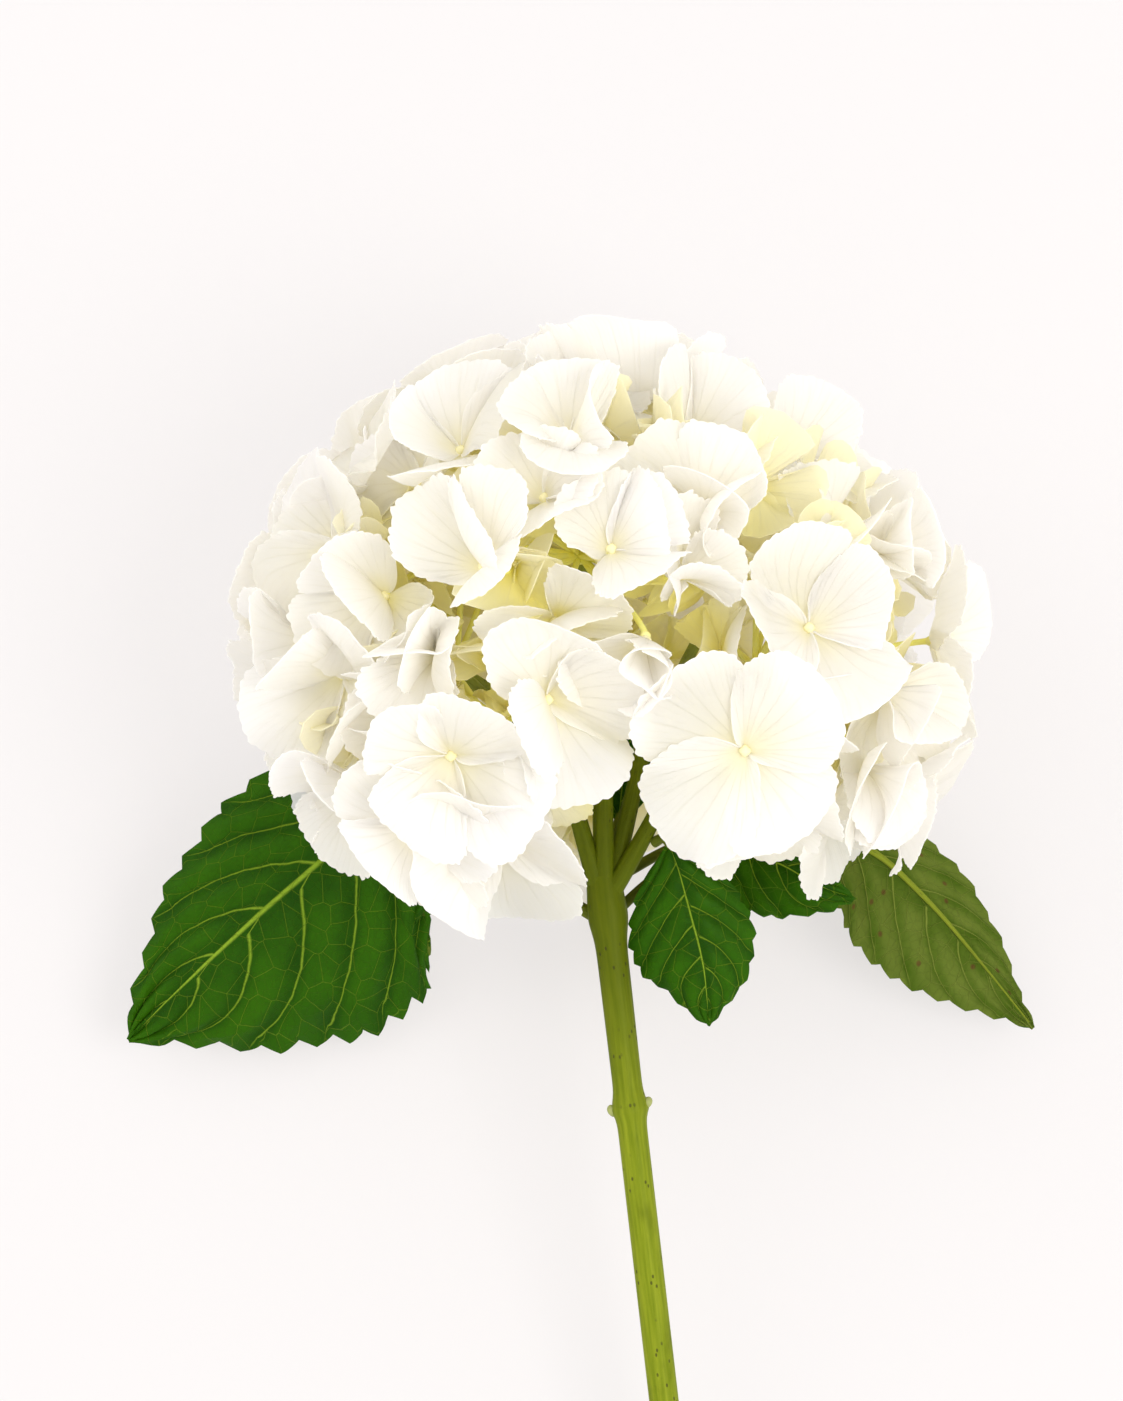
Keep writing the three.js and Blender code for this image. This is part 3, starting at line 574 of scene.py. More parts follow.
def leaf_sheet(leaf, curve, t, s, tooth):
    """Points of a blade: t from base to tip, s from the right edge (-1) to the left (1). Each half is
    folded up from the rib and curled on, and its edge lies a little ahead."""
    share = np.minimum(1, leaf["blade"] + (1 - leaf["blade"]) * t)
    along = curve.tangent(share)
    left = unit(np.cross(leaf["face"], along))
    up = np.cross(along, left)
    right = s <= 0
    half, fold, curl = (np.where(right, leaf[key][1], leaf[key][0]) for key in ("half", "fold", "curl"))
    out = np.abs(s) * half * (leaf_profile(leaf["outline"], t) + tooth * TOOTH_DEPTH)
    angle = np.radians(fold + curl * np.abs(s))
    return (
        curve.at(share)
        + (np.sign(s) * out * np.cos(angle))[..., None] * left
        + (out * np.sin(angle))[..., None] * up
        + (LEAF_SWEEP * out * np.abs(s))[..., None] * along
    )


def leaf_spots():
    """Spots all over the blades, for keeping florets away from them."""
    t, s = np.meshgrid([0.1, 0.25, 0.4, 0.55, 0.7, 0.85, 1], [-1, -0.5, 0, 0.5, 1], indexing="ij")
    blades = [leaf_sheet(leaf, Curve(leaf["rib"]), t, s, 0) for leaf in LEAVES.values()]
    return np.concatenate([blade.reshape(-1, 3) for blade in blades])


def is_clear(at, spots, room=ROOM_FOR_LEAVES):
    """Whether a place is over the table, off the leaves and out of the open throat."""
    return (
        at[1] > SKIRT
        and height_of(at) > TABLE_CLEARANCE
        and np.linalg.norm(at - THROAT) > THROAT_RADIUS
        and np.linalg.norm(spots - at, axis=1).min() > room
    )


def in_cell(cluster, at, margin):
    """Whether a place lies in a cluster's cell, at least a margin inside its borders."""
    toward, border = cluster["borders"]
    return np.all(toward @ (at - cluster["hub"]) < border - margin)


def fill_head():
    """Florets of every cluster: the listed ones, then a dome round each hub, then the gaps."""
    draw = Draw(SEED)
    hubs = [np.array(at, float) for at, _ in HUBS.values()]
    clusters = [{"hub": hub, "borders": borders_of(hub, hubs), "florets": []} for hub in hubs]
    spots = leaf_spots()
    placed = []

    def add(cluster, at, out, spin, size, cupped):
        cluster["florets"].append(Floret(draw, at, out, spin, size, cupped))
        placed.append((at, cluster))

    def nearest(at):
        return min(clusters, key=lambda cluster: np.linalg.norm(cluster["hub"] - at))

    def tipped(out):
        return unit(out + [draw(-TIP, TIP), draw(-TIP, TIP), draw(-TIP, TIP)])

    def try_at(cluster, at, out, spacing, size):
        behind = float(smooth(0, FULLY_BEHIND, -at[2]))
        needed = [spacing["inside"] if owner is cluster else spacing["outside"] for _, owner in placed]
        apart = np.linalg.norm(np.array([place for place, _ in placed]) - at, axis=1)
        roomy = np.all(apart > np.array(needed) * (1 + THIN_AT_BACK * behind))
        if not (in_cell(cluster, at, spacing["margin"]) and roomy and is_clear(at, spots)):
            return
        spin = draw(0, math.pi / 2)
        add(cluster, at, out, spin, size * (1 + BROAD_AT_BACK * behind), draw(0, 0.4))

    for x, y, z, heading, lean, spin, size, cupped in SHOW_FLORETS:
        at = np.array([x, y, z], float)
        turn, tip = math.radians(heading), math.radians(lean)
        out = np.array([math.sin(tip) * math.cos(turn), math.sin(tip) * math.sin(turn), math.cos(tip)])
        add(nearest(at), at, out, math.radians(spin), size, cupped)
    for cluster in clusters:
        outward = unit(cluster["hub"] - HEAD_CORE)
        for direction in spiral_directions(60):
            if direction @ outward < 0.05:
                continue
            at = cluster["hub"] + direction * (PEDICEL_REACH + draw(-3, 3))
            out = tipped(direction * 0.65 + unit(at - HEAD_CORE) * 0.5)
            try_at(cluster, at, out, IN_DOMES, draw(0.88, 1.04))
    for direction in spiral_directions(300):
        at = direction * HEAD_HALVES * draw(0.94, 1.06) + HEAD_CORE
        out = tipped(direction)
        try_at(nearest(at), at, out, IN_GAPS, draw(0.85, 1))
    return clusters


# Cupped florets between the others: how far from the hub, how large, how cupped and how far apart.
FILLERS = (
    {"reach": (26, 32), "size": (0.62, 0.84), "cupped": (0.5, 1.0), "apart": 11.5, "room": 16},
    {"reach": (18, 25), "size": (0.5, 0.68), "cupped": (0.3, 0.9), "apart": 10, "room": 14},
)


def add_fillers(clusters):
    """Small cupped florets between and below the others, which close the head's recesses."""
    draw = Draw(SEED + 1)
    spots = leaf_spots()
    everyone = [floret.at for cluster in clusters for floret in cluster["florets"]]
    for cluster in clusters:
        cluster["fillers"] = []
        outward = unit(cluster["hub"] - HEAD_CORE)
        for kind in FILLERS:
            for direction in spiral_directions(90):
                at = cluster["hub"] + direction * draw(*kind["reach"])
                aside = np.array([draw(-0.5, 0.5), draw(-0.5, 0.5), draw(-0.5, 0.5)])
                out = unit(direction + outward * 0.4 + aside)
                apart = np.linalg.norm(np.array(everyone) - at, axis=1).min()
                if direction @ outward < 0.1 or apart < kind["apart"] or not in_cell(cluster, at, 3):
                    continue
                inside = np.linalg.norm((at - HEAD_CORE) / HEAD_HALVES) < 1
                if not inside or not is_clear(at, spots, kind["room"]):
                    continue
                size, cupped = draw(*kind["size"]), draw(*kind["cupped"])
                cluster["fillers"].append(Floret(draw, at, out, draw(0, 1.57), size, cupped))
                everyone.append(at)


# ---- Sepals ----
HALF_WIDTH = 0.545  # in lengths
BASE_SHARE = 0.06  # of the turn round the outline that the narrow base takes
NOTCH = (0, 1, 0.8)  # how far out the outline is over one tooth: rounded teeth with narrow notches


class SepalGrid:
    """Points of a sepal on rings inside its outline: shares of the outline (e, from -1 to 1 round the
    tip) and of the way out (r). The centre comes first, then the rings, then the outline, which has
    split points to a spoke. Also the triangles and the rim."""

    def __init__(self, spokes, split, rings):
        self.spokes, self.split = spokes, split
        coarse = np.linspace(-1, 1, spokes + 1)
        fine = np.linspace(-1, 1, spokes * split + 1)
        wide = spokes + 1
        self.e = np.concatenate([[0], np.tile(coarse, len(rings)), fine])
        self.r = np.concatenate([[0], np.repeat(rings, wide), np.ones(len(fine))])
        k = np.arange(spokes)
        fan = np.stack([np.zeros(spokes, int), 1 + k, 2 + k], 1)
        inner = grid_triangles(len(rings), wide)[:, ::-1] + 1
        last = 1 + (len(rings) - 1) * wide
        edge = 1 + len(rings) * wide
        middle = split // 2
        strip = [np.stack([last + k, edge + k * split + middle + 1, last + k + 1], 1)]
        for step in range(split):
            near = last + k + (1 if step > middle else 0)
            strip.append(np.stack([near, edge + k * split + step, edge + k * split + step + 1], 1))
        self.triangles = np.concatenate([fan, inner, *strip])
        right = 1 + np.arange(len(rings)) * wide
        self.rim = np.concatenate([[0], right, edge + np.arange(len(fine)), right[::-1] + spokes])

    def teeth(self, phase):
        """How far each point lies out on its tooth, 0 in a notch and 1 on its back, with the teeth
        of uneven size."""
        place = np.round((self.e + 1) / 2 * self.spokes * self.split).astype(int)
        profile = np.array(NOTCH)[place % self.split] if self.split == len(NOTCH) else 0 * self.e
        uneven = 0.7 + 0.5 * np.sin(place // self.split * 2.4 + phase)
        return np.where(self.r == 1, profile * uneven, 0)


FINE_SEPAL = SepalGrid(30, 3, np.array([0.1, 0.22, 0.35, 0.48, 0.61, 0.74, 0.87]))
PLAIN_SEPAL = SepalGrid(18, 1, np.array([0.2, 0.42, 0.64, 0.84]))


def outline(e, draw):
    """Outline of a flat sepal in lengths, e from -1 at the right of the base over 0 at the tip to 1:
    an ellipse, a little wider towards its tip, with a small point or notch there, its radius waved
    by two low sines so that no two are alike."""
    width, point = draw(0.9, 1.1), draw(-0.04, 0.05)
    turn = np.pi * e * (1 - BASE_SHARE)
    along = 0.5 * np.cos(turn) + point * np.exp(-((e / 0.12) ** 2))
    across = HALF_WIDTH * width * np.sin(turn) * (1 + 0.18 * np.cos(turn))
    uneven = 1 + 0.035 * np.sin(2 * turn + draw(0, 6.28)) + 0.025 * np.sin(5 * turn + draw(0, 6.28))
    return np.stack([0.5 + along * uneven, across * uneven], -1)


def shared_sheet(floret, k, flat):
    """Flat places of a sepal on the sheet that it shares with its neighbours: its own along its
    middle, and theirs at its sides, where they are set alike."""
    sepal = floret.sepals[k]
    own = floret.sheet(k, flat)
    shared = own.copy()
    aside = np.degrees(np.abs(np.arctan2(flat[:, 1], flat[:, 0] + 1e-6)))
    world = flat[:, :1] * sepal["along"] + flat[:, 1:] * sepal["across"]
    for step in (1, -1):
        near = floret.sepals[(k + step) % 4]
        theirs = np.stack([world @ near["along"], world @ near["across"]], 1)
        alike = float(smooth(0.7, 0.2, abs(near["slope"] - sepal["slope"])))
        away = alike * smooth(25, 65, aside)[:, None]
        blended = own * (1 - away) + floret.sheet((k + step) % 4, theirs) * away
        shared = np.where((flat[:, 1] * step > 0)[:, None], blended, shared)
    return shared, aside


def sepal_patch(floret, k, cluster, neighbours, look, draw, grid, depth):
    """One sepal: the outline with its teeth, scaled in towards the base, laid on the shared sheet and
    moved off it by sines round the edge (ruffle), a turned edge (curl), a sunk middle line (groove)
    and a lift over or under its neighbours."""
    e, r = grid.e, grid.r
    length = floret.sepals[k]["length"]
    edge = outline(e, draw)
    tooth = look.tooth_depth / MM / length * smooth(0.85, 0.55, np.abs(e)) * (grid.teeth(draw(0, 6.28)) - 0.5)
    edge += unit(edge - [0.45, 0]) * (tooth * (r == 1))[:, None]
    flat = edge * r[:, None] * length
    shared, aside = shared_sheet(floret, k, flat)
    over = 1 if k % 2 == 0 else -1
    lift = over * (0.22 + draw(0.5, 1.6) * smooth(28, 62, aside) * r)
    wave = np.sin(e * draw(6, 10) + draw(0, 6.28)) + 0.35 * np.sin(e * draw(17, 23) + draw(0, 6.28))
    ruffle = look.ruffle / MM * draw(0.5, 1.4) * r**2.5 * wave * smooth(1, 0.8, np.abs(e))
    curl = draw(-2.6, 1.8) * r**5 * smooth(0.75, 0.1, np.abs(e))
    groove = -0.45 * np.exp(-((flat[:, 1] / 1.2) ** 2)) * smooth(1, 0.3, r)
    shared += ((lift + ruffle + curl + groove) * smooth(0, 0.2, r))[:, None] * floret.out
    middle = settle(shared, floret, neighbours, cluster)
    pattern = np.stack([(e + 1) / 2, r], 1)
    # deep: how far in the head a point lies, more for the fillers; the sepal material paints shade from it,
    # cream and yellow-green in the recesses.
    inside = np.linalg.norm((middle - HEAD_CORE) / HEAD_HALVES, axis=1)
    deep = smooth(1.12, 0.72, inside) + depth
    marks = np.stack([np.full(len(deep), draw(0, 1)), np.clip(deep, 0, 1)], 1)
    return thick_sheet(middle, grid.triangles, grid.rim, look.sepal_thickness / MM, pattern, marks)


def stalk_patches(floret, cluster):
    """The four-lobed bud and the pedicel, which leaves straight down and bends to its hub."""
    elbow = floret.at - floret.out * ELBOW_DROP
    path = bent(floret.at - floret.out * 0.4, elbow, cluster["hub"], 12)
    share = np.linspace(0, 1, 12)
    radii = PEDICEL_RADIUS * (1 + 0.7 * np.exp(-share * 14) + 0.2 * share)
    bud = blob(floret.at + floret.out * 0.9, floret.out, 1.35, 0.95, 4, 0.22, marks=(0, 1))
    cup = blob(floret.at - floret.out * 0.5, floret.out, 1.2, 1.1, 4, 0.1, marks=(0, 0.5))
    return [tube(path, radii, 8, marks=(0, 0)), bud, cup]


# ---- Leaves ----
ROWS_IN_TOOTH = 7
LEAF_COLUMNS = 57
VEIN_SWEEP = 0.3  # side veins reach the edge this share of the blade nearer the tip


def leaf_patches(leaf, look):
    """A blade with saw teeth that point to the tip, puckered up between its side veins, and the
    petiole, which runs on under the blade as its rib."""
    curve = Curve(leaf["rib"])
    teeth = leaf["teeth"]
    steps = np.concatenate([[-TOOTH_START * 0.9], np.arange(teeth * ROWS_IN_TOOTH) / ROWS_IN_TOOTH, [teeth]])
    t = ((steps + TOOTH_START) / (teeth + TOOTH_START)).clip(0, 0.998)
    within = steps % 1
    saw = np.minimum((within / TOOTH_PEAK) ** 0.85, (1 - within) / (1 - TOOTH_PEAK))
    saw = saw * smooth(0.02, 0.08, t) * smooth(0.995, 0.95, t)
    s = np.linspace(-1, 1, LEAF_COLUMNS)
    s = np.sign(s) * np.abs(s) ** 0.9
    t, s = np.meshgrid(t, s, indexing="ij")
    sheet = leaf_sheet(leaf, curve, t, s, saw[:, None] * smooth(0.84, 1, np.abs(s)) * 1.1)
    rows, columns = t.shape
    triangles = grid_triangles(rows, columns)[:, ::-1]
    side = np.abs(s)
    vein = (t - VEIN_SWEEP * side**1.2) * leaf["veins"] + np.where(s > 0, 0.0, 0.35)
    between = np.abs(vein % 1 - 0.5) * 2  # 0 midway between side veins, 1 on one
    scale = max(leaf["half"]) / 40
    pucker = look.pucker / MM * scale * (0.55 - smooth(0.2, 1, between)) * smooth(0.02, 0.2, side)
    pucker = pucker * smooth(1.02, 0.8, side)
    across = side * np.where(s > 0, *leaf["half"])
    rib = -0.5 * np.exp(-((across * leaf_profile(leaf["outline"], t) / 1.3) ** 2))
    wave = look.leaf_wave / MM * scale * smooth(0.55, 1, side) * np.sin(t * leaf["veins"] * 4.1 + s * 2)
    fine = 0.10 * np.sin(side * 34 + 3 * np.sin(vein * 6.28)) * smooth(0.15, 0.4, side) * scale
    points = sheet.reshape(-1, 3)
    normals = point_normals(points, triangles)
    points = points + (pucker + rib + wave + fine).reshape(-1, 1) * normals
    order = np.arange(rows * columns).reshape(rows, columns)
    rim = np.concatenate([order[:, 0], order[-1, 1:], order[-2::-1, -1], order[0, -2:0:-1]])
    pattern = np.stack([vein, s], -1).reshape(-1, 2)
    long = curve.lengths[-1] * (1 - leaf["blade"]) / 10
    metric = np.stack([t * long, s * across.max() / 10 * leaf_profile(leaf["outline"], t)], -1).reshape(-1, 2)
    thickness = look.leaf_thickness / MM
    blade = thick_sheet(points, triangles, rim, thickness, pattern, metric, materials=(0, 1))
    share = np.linspace(0, 0.985, 70)
    along = curve.tangent(share)
    left = unit(np.cross(leaf["face"], along))
    under = -np.cross(along, left)
    start = leaf["blade"]
    in_blade = np.clip((share - start) / (1 - start), 0, 1)
    radii = np.where(
        share < start, PETIOLE_RADIUS - 0.35 * share / start, (PETIOLE_RADIUS - 0.35) * (1 - in_blade) ** 0.9
    )
    radii = np.maximum(radii * (0.75 + 0.25 * scale), 0.22)
    sunk = smooth(start - 0.04, start + 0.06, share) * (radii * 0.92 + 0.5)
    stalk = tube(curve.at(share) + under * sunk[:, None], radii, 12, marks=(0, 0.2), material=2)
    return [blade, stalk]


# ---- Stem ----
STEM_DIRECTION = np.array([math.sin(STEM_SIDE_LEAN), -math.cos(STEM_SIDE_LEAN), 0])


def stem_radius(drop):
    """The stem's radius along it, with a swelling at the whorl, the leaf node and the bud node."""

    def swell(centre, width, amount):
        return amount * np.exp(-(((drop - centre) / width) ** 2))

    return (
        STEM_RADIUS + 0.3 * smooth(60, 0, drop) + swell(4, 7, 0.7) + swell(LEAF_NODE_DROP, 4, 0.5)
        + swell(BUD_NODE_DROP, 3, 0.75) + swell(BUD_NODE_DROP + 1, 0.8, 0.3)
    )


def main_stem():
    """The main stem: lines along it that each end on the slanted cut, a little furrowed, with the cut
    closed by rings that shrink to its middle."""
    turn = np.linspace(0, 2 * np.pi, 40, endpoint=False)
    across = np.array([math.cos(STEM_SIDE_LEAN), math.sin(STEM_SIDE_LEAN), 0])
    spokes = across * np.cos(turn)[:, None] + np.array([0, 0, 1]) * np.sin(turn)[:, None]
    furrows = 1 + 0.012 * np.cos(5 * turn) + 0.006 * np.cos(11 * turn + 1)
    cut = np.array([0, math.cos(CUT_SLANT), -math.sin(CUT_SLANT)])
    lowest = STEM_DIRECTION * STEM_LENGTH - np.array([0, 0, STEM_RADIUS])
    ends = ((lowest - spokes * STEM_RADIUS) @ cut) / (STEM_DIRECTION @ cut)
    share = np.linspace(0, 1, 220)[:, None]
    drop = -STEM_TOP_RISE + share * (ends + STEM_TOP_RISE)[None, :]
    radius = stem_radius(drop) * np.where(share < 0.99, furrows[None, :], 1)
    rings = drop[..., None] * STEM_DIRECTION + radius[..., None] * spokes
    middle = rings[-1].mean(0)
    inward = np.array([0.95, 0.8, 0.6, 0.4, 0.2])[:, None, None]
    face = middle + (rings[-1] - middle) * inward
    rows = len(rings) + len(face)
    sides = len(turn)
    points = np.concatenate([rings.reshape(-1, 3), face.reshape(-1, 3), [middle, rings[0].mean(0)]])
    k = np.arange(sides)
    after = (k + 1) % sides
    last = (rows - 1) * sides
    closing = np.stack([np.full(sides, rows * sides), last + k, last + after], 1)
    opening = np.stack([np.full(sides, rows * sides + 1), after, k], 1)
    triangles = np.concatenate([grid_triangles(rows, sides, wrap=True), closing, opening])
    length = np.concatenate([drop, np.broadcast_to(ends, (len(face), sides))]) / 10
    pattern = np.stack([np.broadcast_to(turn / (2 * np.pi), length.shape), length], -1).reshape(-1, 2)
    pattern = np.concatenate([pattern, [[0.5, ends.mean() / 10], [0.5, 0]]])
    core = np.concatenate([np.ones(len(rings) * sides), np.repeat(inward.ravel(), sides), [0, 1]])
    marks = np.stack([core, 0 * core], 1)
    on_cut = (len(rings) - 1) * sides * 2
    numbers = np.zeros(len(triangles), int)
    numbers[on_cut : len(triangles) - sides] = 1
    return Patch(points, triangles, pattern, marks, numbers)


def stem_patches():
    """The main stem with its dormant buds, the first rays, their forks and the second rays."""
    patches = [main_stem()]
    for name, place in FORKS.items():
        fork = np.array(place, float)
        start = np.array([fork[0] * 0.08, -2, fork[2] * 0.08])
        bow = np.array([fork[0] * 0.55, fork[1] * 0.4, fork[2] * 0.55])
        share = np.linspace(0, 1, 24)
        radii = RAY_RADIUS * (1.25 - 0.35 * share) + 0.35 * np.exp(-(((1 - share) / 0.1) ** 2))
        patches.append(tube(bent(start, bow, fork, 24), radii, 14, marks=(1, 0)))
        patches.append(blob(fork, fork, TWIG_RADIUS * 1.35, 1.15, 3, 0.1, marks=(1, 0)))
        for hub_place, carrier in HUBS.values():
            if carrier != name:
                continue
            hub = np.array(hub_place, float)
            bow = (fork + hub) / 2 + np.array([0, TWIG_BOW, 0])
            arrival = unit(hub - bow)
            path = bent(fork, bow, hub - arrival * (HUB_RADIUS * 0.6), 28)
            radii = TWIG_RADIUS * (1.1 - 0.3 * np.linspace(0, 1, 28))
            patches.append(tube(path, radii, 12, marks=(1, 0.35)))
    for side in (-1, 1):
        bud = STEM_DIRECTION * (BUD_NODE_DROP - side) + np.array([side * (STEM_RADIUS + 0.7), 0, 0])
        patches.append(blob(bud, np.array([side * 0.7, 1, 0.1]), 1.3, 1.25, 2, 0.12, marks=(1, 0.6)))
    return patches


# ---- Shaders ----
class Value:
    """A number output of a shader node. Arithmetic on it adds the Math nodes."""

    def __init__(self, graph, socket):
        self.graph, self.socket = graph, socket

    def math(self, operation, *others):
        sockets = dict(enumerate((self, *others)))
        return self.graph.node("ShaderNodeMath", {"operation": operation}, sockets)[0]

    def __add__(self, other):
        return self.math("ADD", other)

    __radd__ = __add__

    def __mul__(self, other):
        return self.math("MULTIPLY", other)

    __rmul__ = __mul__

    def __sub__(self, other):
        return self.math("SUBTRACT", other)

    def __rsub__(self, other):
        return (self * -1) + other

    def __truediv__(self, other):
        return self.math("DIVIDE", other)

    def __abs__(self):
        return self.math("ABSOLUTE")

    def fraction(self):
        return self.math("FRACT")

    def most(self, other):
        return self.math("MAXIMUM", other)

    def clipped(self):
        return self.math("MINIMUM", 1).math("MAXIMUM", 0)

    def eased(self, low, high):
        """0 at low, 1 at high, eased between them; low may be the larger."""
        settings = {"interpolation_type": "SMOOTHSTEP"}
        ends = {1: low, 2: high} if low < high else {1: high, 2: low}
        made = self.graph.node("ShaderNodeMapRange", settings, {0: self, **ends})[0]
        return made if low < high else 1 - made


class Graph:
    """A material's nodes."""

    def __init__(self, name):
        self.material = bpy.data.materials.new(name)
        self.material.use_nodes = True
        self.tree = self.material.node_tree
        self.tree.nodes.clear()

    def node(self, kind, settings=None, sockets=None, stops=None):
        """Adds a node: its settings first, then its colour stops, then values or links by socket."""
        made = self.tree.nodes.new(kind)
        for key, value in (settings or {}).items():
            setattr(made, key, value)
        if stops:
            ramp = made.color_ramp
            while len(ramp.elements) < len(stops):
                ramp.elements.new(0.5)
            for element, (position, colour) in zip(ramp.elements, stops):
                element.position = position
                element.color = (*colour, 1)
        for key, value in (sockets or {}).items():
            if isinstance(value, Value):
                self.tree.links.new(value.socket, made.inputs[key])
            elif made.inputs[key].type == "RGBA":
                made.inputs[key].default_value = (*value, 1)
            else:
                made.inputs[key].default_value = value
        return Outputs(self, made)

    def mix(self, share, first, second):
        """A colour between two others."""
        sockets = {0: share, 6: first, 7: second}
        return self.node("ShaderNodeMix", {"data_type": "RGBA"}, sockets)[2]

    def ramp(self, share, *stops):
        return self.node("ShaderNodeValToRGB", None, {0: share}, stops)[0]

    def map(self, layer):
        """A texture coordinate pair of the piece: its vector and its two numbers."""
        pair = self.node("ShaderNodeUVMap", {"uv_map": layer})[0]
        parts = self.node("ShaderNodeSeparateXYZ", None, {0: pair})
        return pair, parts[0], parts[1]

    def place(self):
        """Where a point is in the row frame, in metres."""
        return self.node("ShaderNodeTexCoord")["Object"]

    def noise(self, vector, scale, detail=3, roughness=0.5):
        sockets = {"Vector": vector, "Scale": scale, "Detail": detail, "Roughness": roughness}
        return self.node("ShaderNodeTexNoise", None, sockets)["Fac"]

    def cells(self, vector, scale, feature="DISTANCE_TO_EDGE"):
        sockets = {"Vector": vector, "Scale": scale}
        settings = {"feature": feature, "voronoi_dimensions": "2D"}
        return self.node("ShaderNodeTexVoronoi", settings, sockets)["Distance"]

    def vector(self, x, y, z=0):
        return self.node("ShaderNodeCombineXYZ", None, {0: x, 1: y, 2: z})[0]

    def bump(self, height, distance, strength=1.0):
        sockets = {"Height": height, "Distance": distance, "Strength": strength}
        return self.node("ShaderNodeBump", None, sockets)["Normal"]

    def finish(self, shader):
        self.node("ShaderNodeOutputMaterial", None, {"Surface": shader})
        return self.material


class Outputs:
    """The outputs of one node, by name or number."""

    def __init__(self, graph, made):
        self.graph, self.made = graph, made

    def __getitem__(self, key):
        sockets = self.made.outputs
        if isinstance(key, int) and self.made.bl_idname == "ShaderNodeMix":
            return Value(self.graph, sockets[key])
        return Value(self.graph, sockets[key])


def leafy_shader(graph, colour, roughness, normal, through, share, specular):
    """A thin leaf or petal: a glossy or dull surface that also lets light through in one colour."""
    surface = graph.node(
        "ShaderNodeBsdfPrincipled",
        None,
        {
            "Base Color": colour,
            "Roughness": roughness,
            "Normal": normal,
            "Specular IOR Level": specular,
        },
    )[0]
    back = graph.node("ShaderNodeBsdfTranslucent", None, {"Color": through})[0]
    return graph.node("ShaderNodeMixShader", None, {0: share, 1: surface, 2: back})[0]


def sepal_material(look):
    """Cream-white sepal: yellow-green low in the floret, white out on the blade, with veins that fan out from
    the base and a finely crumpled skin. Deep in the head it turns cream and yellow-green: painted shade, the
    warm light among the sepals painted into the colour. Some sheets are tinted lavender-grey at random:
    painted cool shade."""
    graph = Graph("sepal white")
    _, turn, out = graph.map("pattern")
    _, own, deep = graph.map("marks")
    place = graph.place()
    drift = graph.noise(place, 55, 1)
    fan = (abs(turn - 0.5) * 2 * 7.5 + (drift - 0.5) * 0.5 + own).fraction()
    vein = abs(fan - 0.5).eased(0.09, 0.0) * out.eased(0.05, 0.3) * out.eased(1.0, 0.7)
    branch = (abs(turn - 0.5) * 2 * 23 + (drift - 0.5) * 3).fraction()
    branch = abs(branch - 0.5).eased(0.14, 0.0) * out.eased(0.45, 0.7) * 0.5
    crumple = graph.noise(place, 620, 2, 0.65)
    veins = vein.most(branch)
    blotch = graph.noise(place, 28, 1)
    # Painted cool shade: a lavender-grey tint that stands in for shade lit by a bluish sky, laid on some
    # sheets at random by a blotchy noise.
    cool = (blotch.eased(0.42, 0.68) * (own * 1.1)).clipped() * look.painted_cool_shade_share
    body = graph.mix(cool, look.sepal_white, look.sepal_painted_cool_shade)
    # Cream towards a sepal's base is its own colour; the share that grows with deep is painted warm shade in
    # the head's recesses.
    cream = (out.eased(0.75, 0.05) * 0.45 + deep * 0.7 + (1 - own) * 0.06).clipped()
    body = graph.mix(cream, body, look.sepal_cream_and_painted_shade)
    # Yellow-green at a sepal's base is partly its own colour; where it grows with deep it is painted shade,
    # the warm light among the sepals in the recesses.
    green = (deep.eased(0.05, 0.8) * 0.85 + out.eased(0.42, 0.0) * (0.25 + deep * 0.6)).clipped()
    body = graph.mix(green, body, look.sepal_base_and_painted_shade)
    body = graph.mix(veins * 0.26, body, look.sepal_vein)
    height = crumple * 0.35 - veins * 0.5 + graph.noise(place, 170, 1) * 0.6
    normal = graph.bump(height, 0.00035, 0.7)
    rough = 0.55 + crumple * 0.15
    shader = leafy_shader(
        graph, body, rough, normal, tuple(look.sepal_glow), look.sepal_translucency, specular=0.25
    )
    return graph.finish(shader)


def stalk_material(look):
    """Pedicels of pale green, creamier at the bud, and the cream bud with darker seams."""
    graph = Graph("pedicel green")
    _, _, kind = graph.map("marks")
    place = graph.place()
    mottle = graph.noise(place, 300, 3)
    green = graph.mix(mottle, look.pedicel_green, look.sepal_base_and_painted_shade)
    colour = graph.mix(kind.eased(0.2, 0.9), green, look.bud_cream)
    normal = graph.bump(mottle, 0.0003, 0.5)
    surface = graph.node(
        "ShaderNodeBsdfPrincipled",
        None,
        {"Base Color": colour, "Roughness": 0.5 + mottle * 0.1, "Normal": normal},
    )[0]
    return graph.finish(surface)


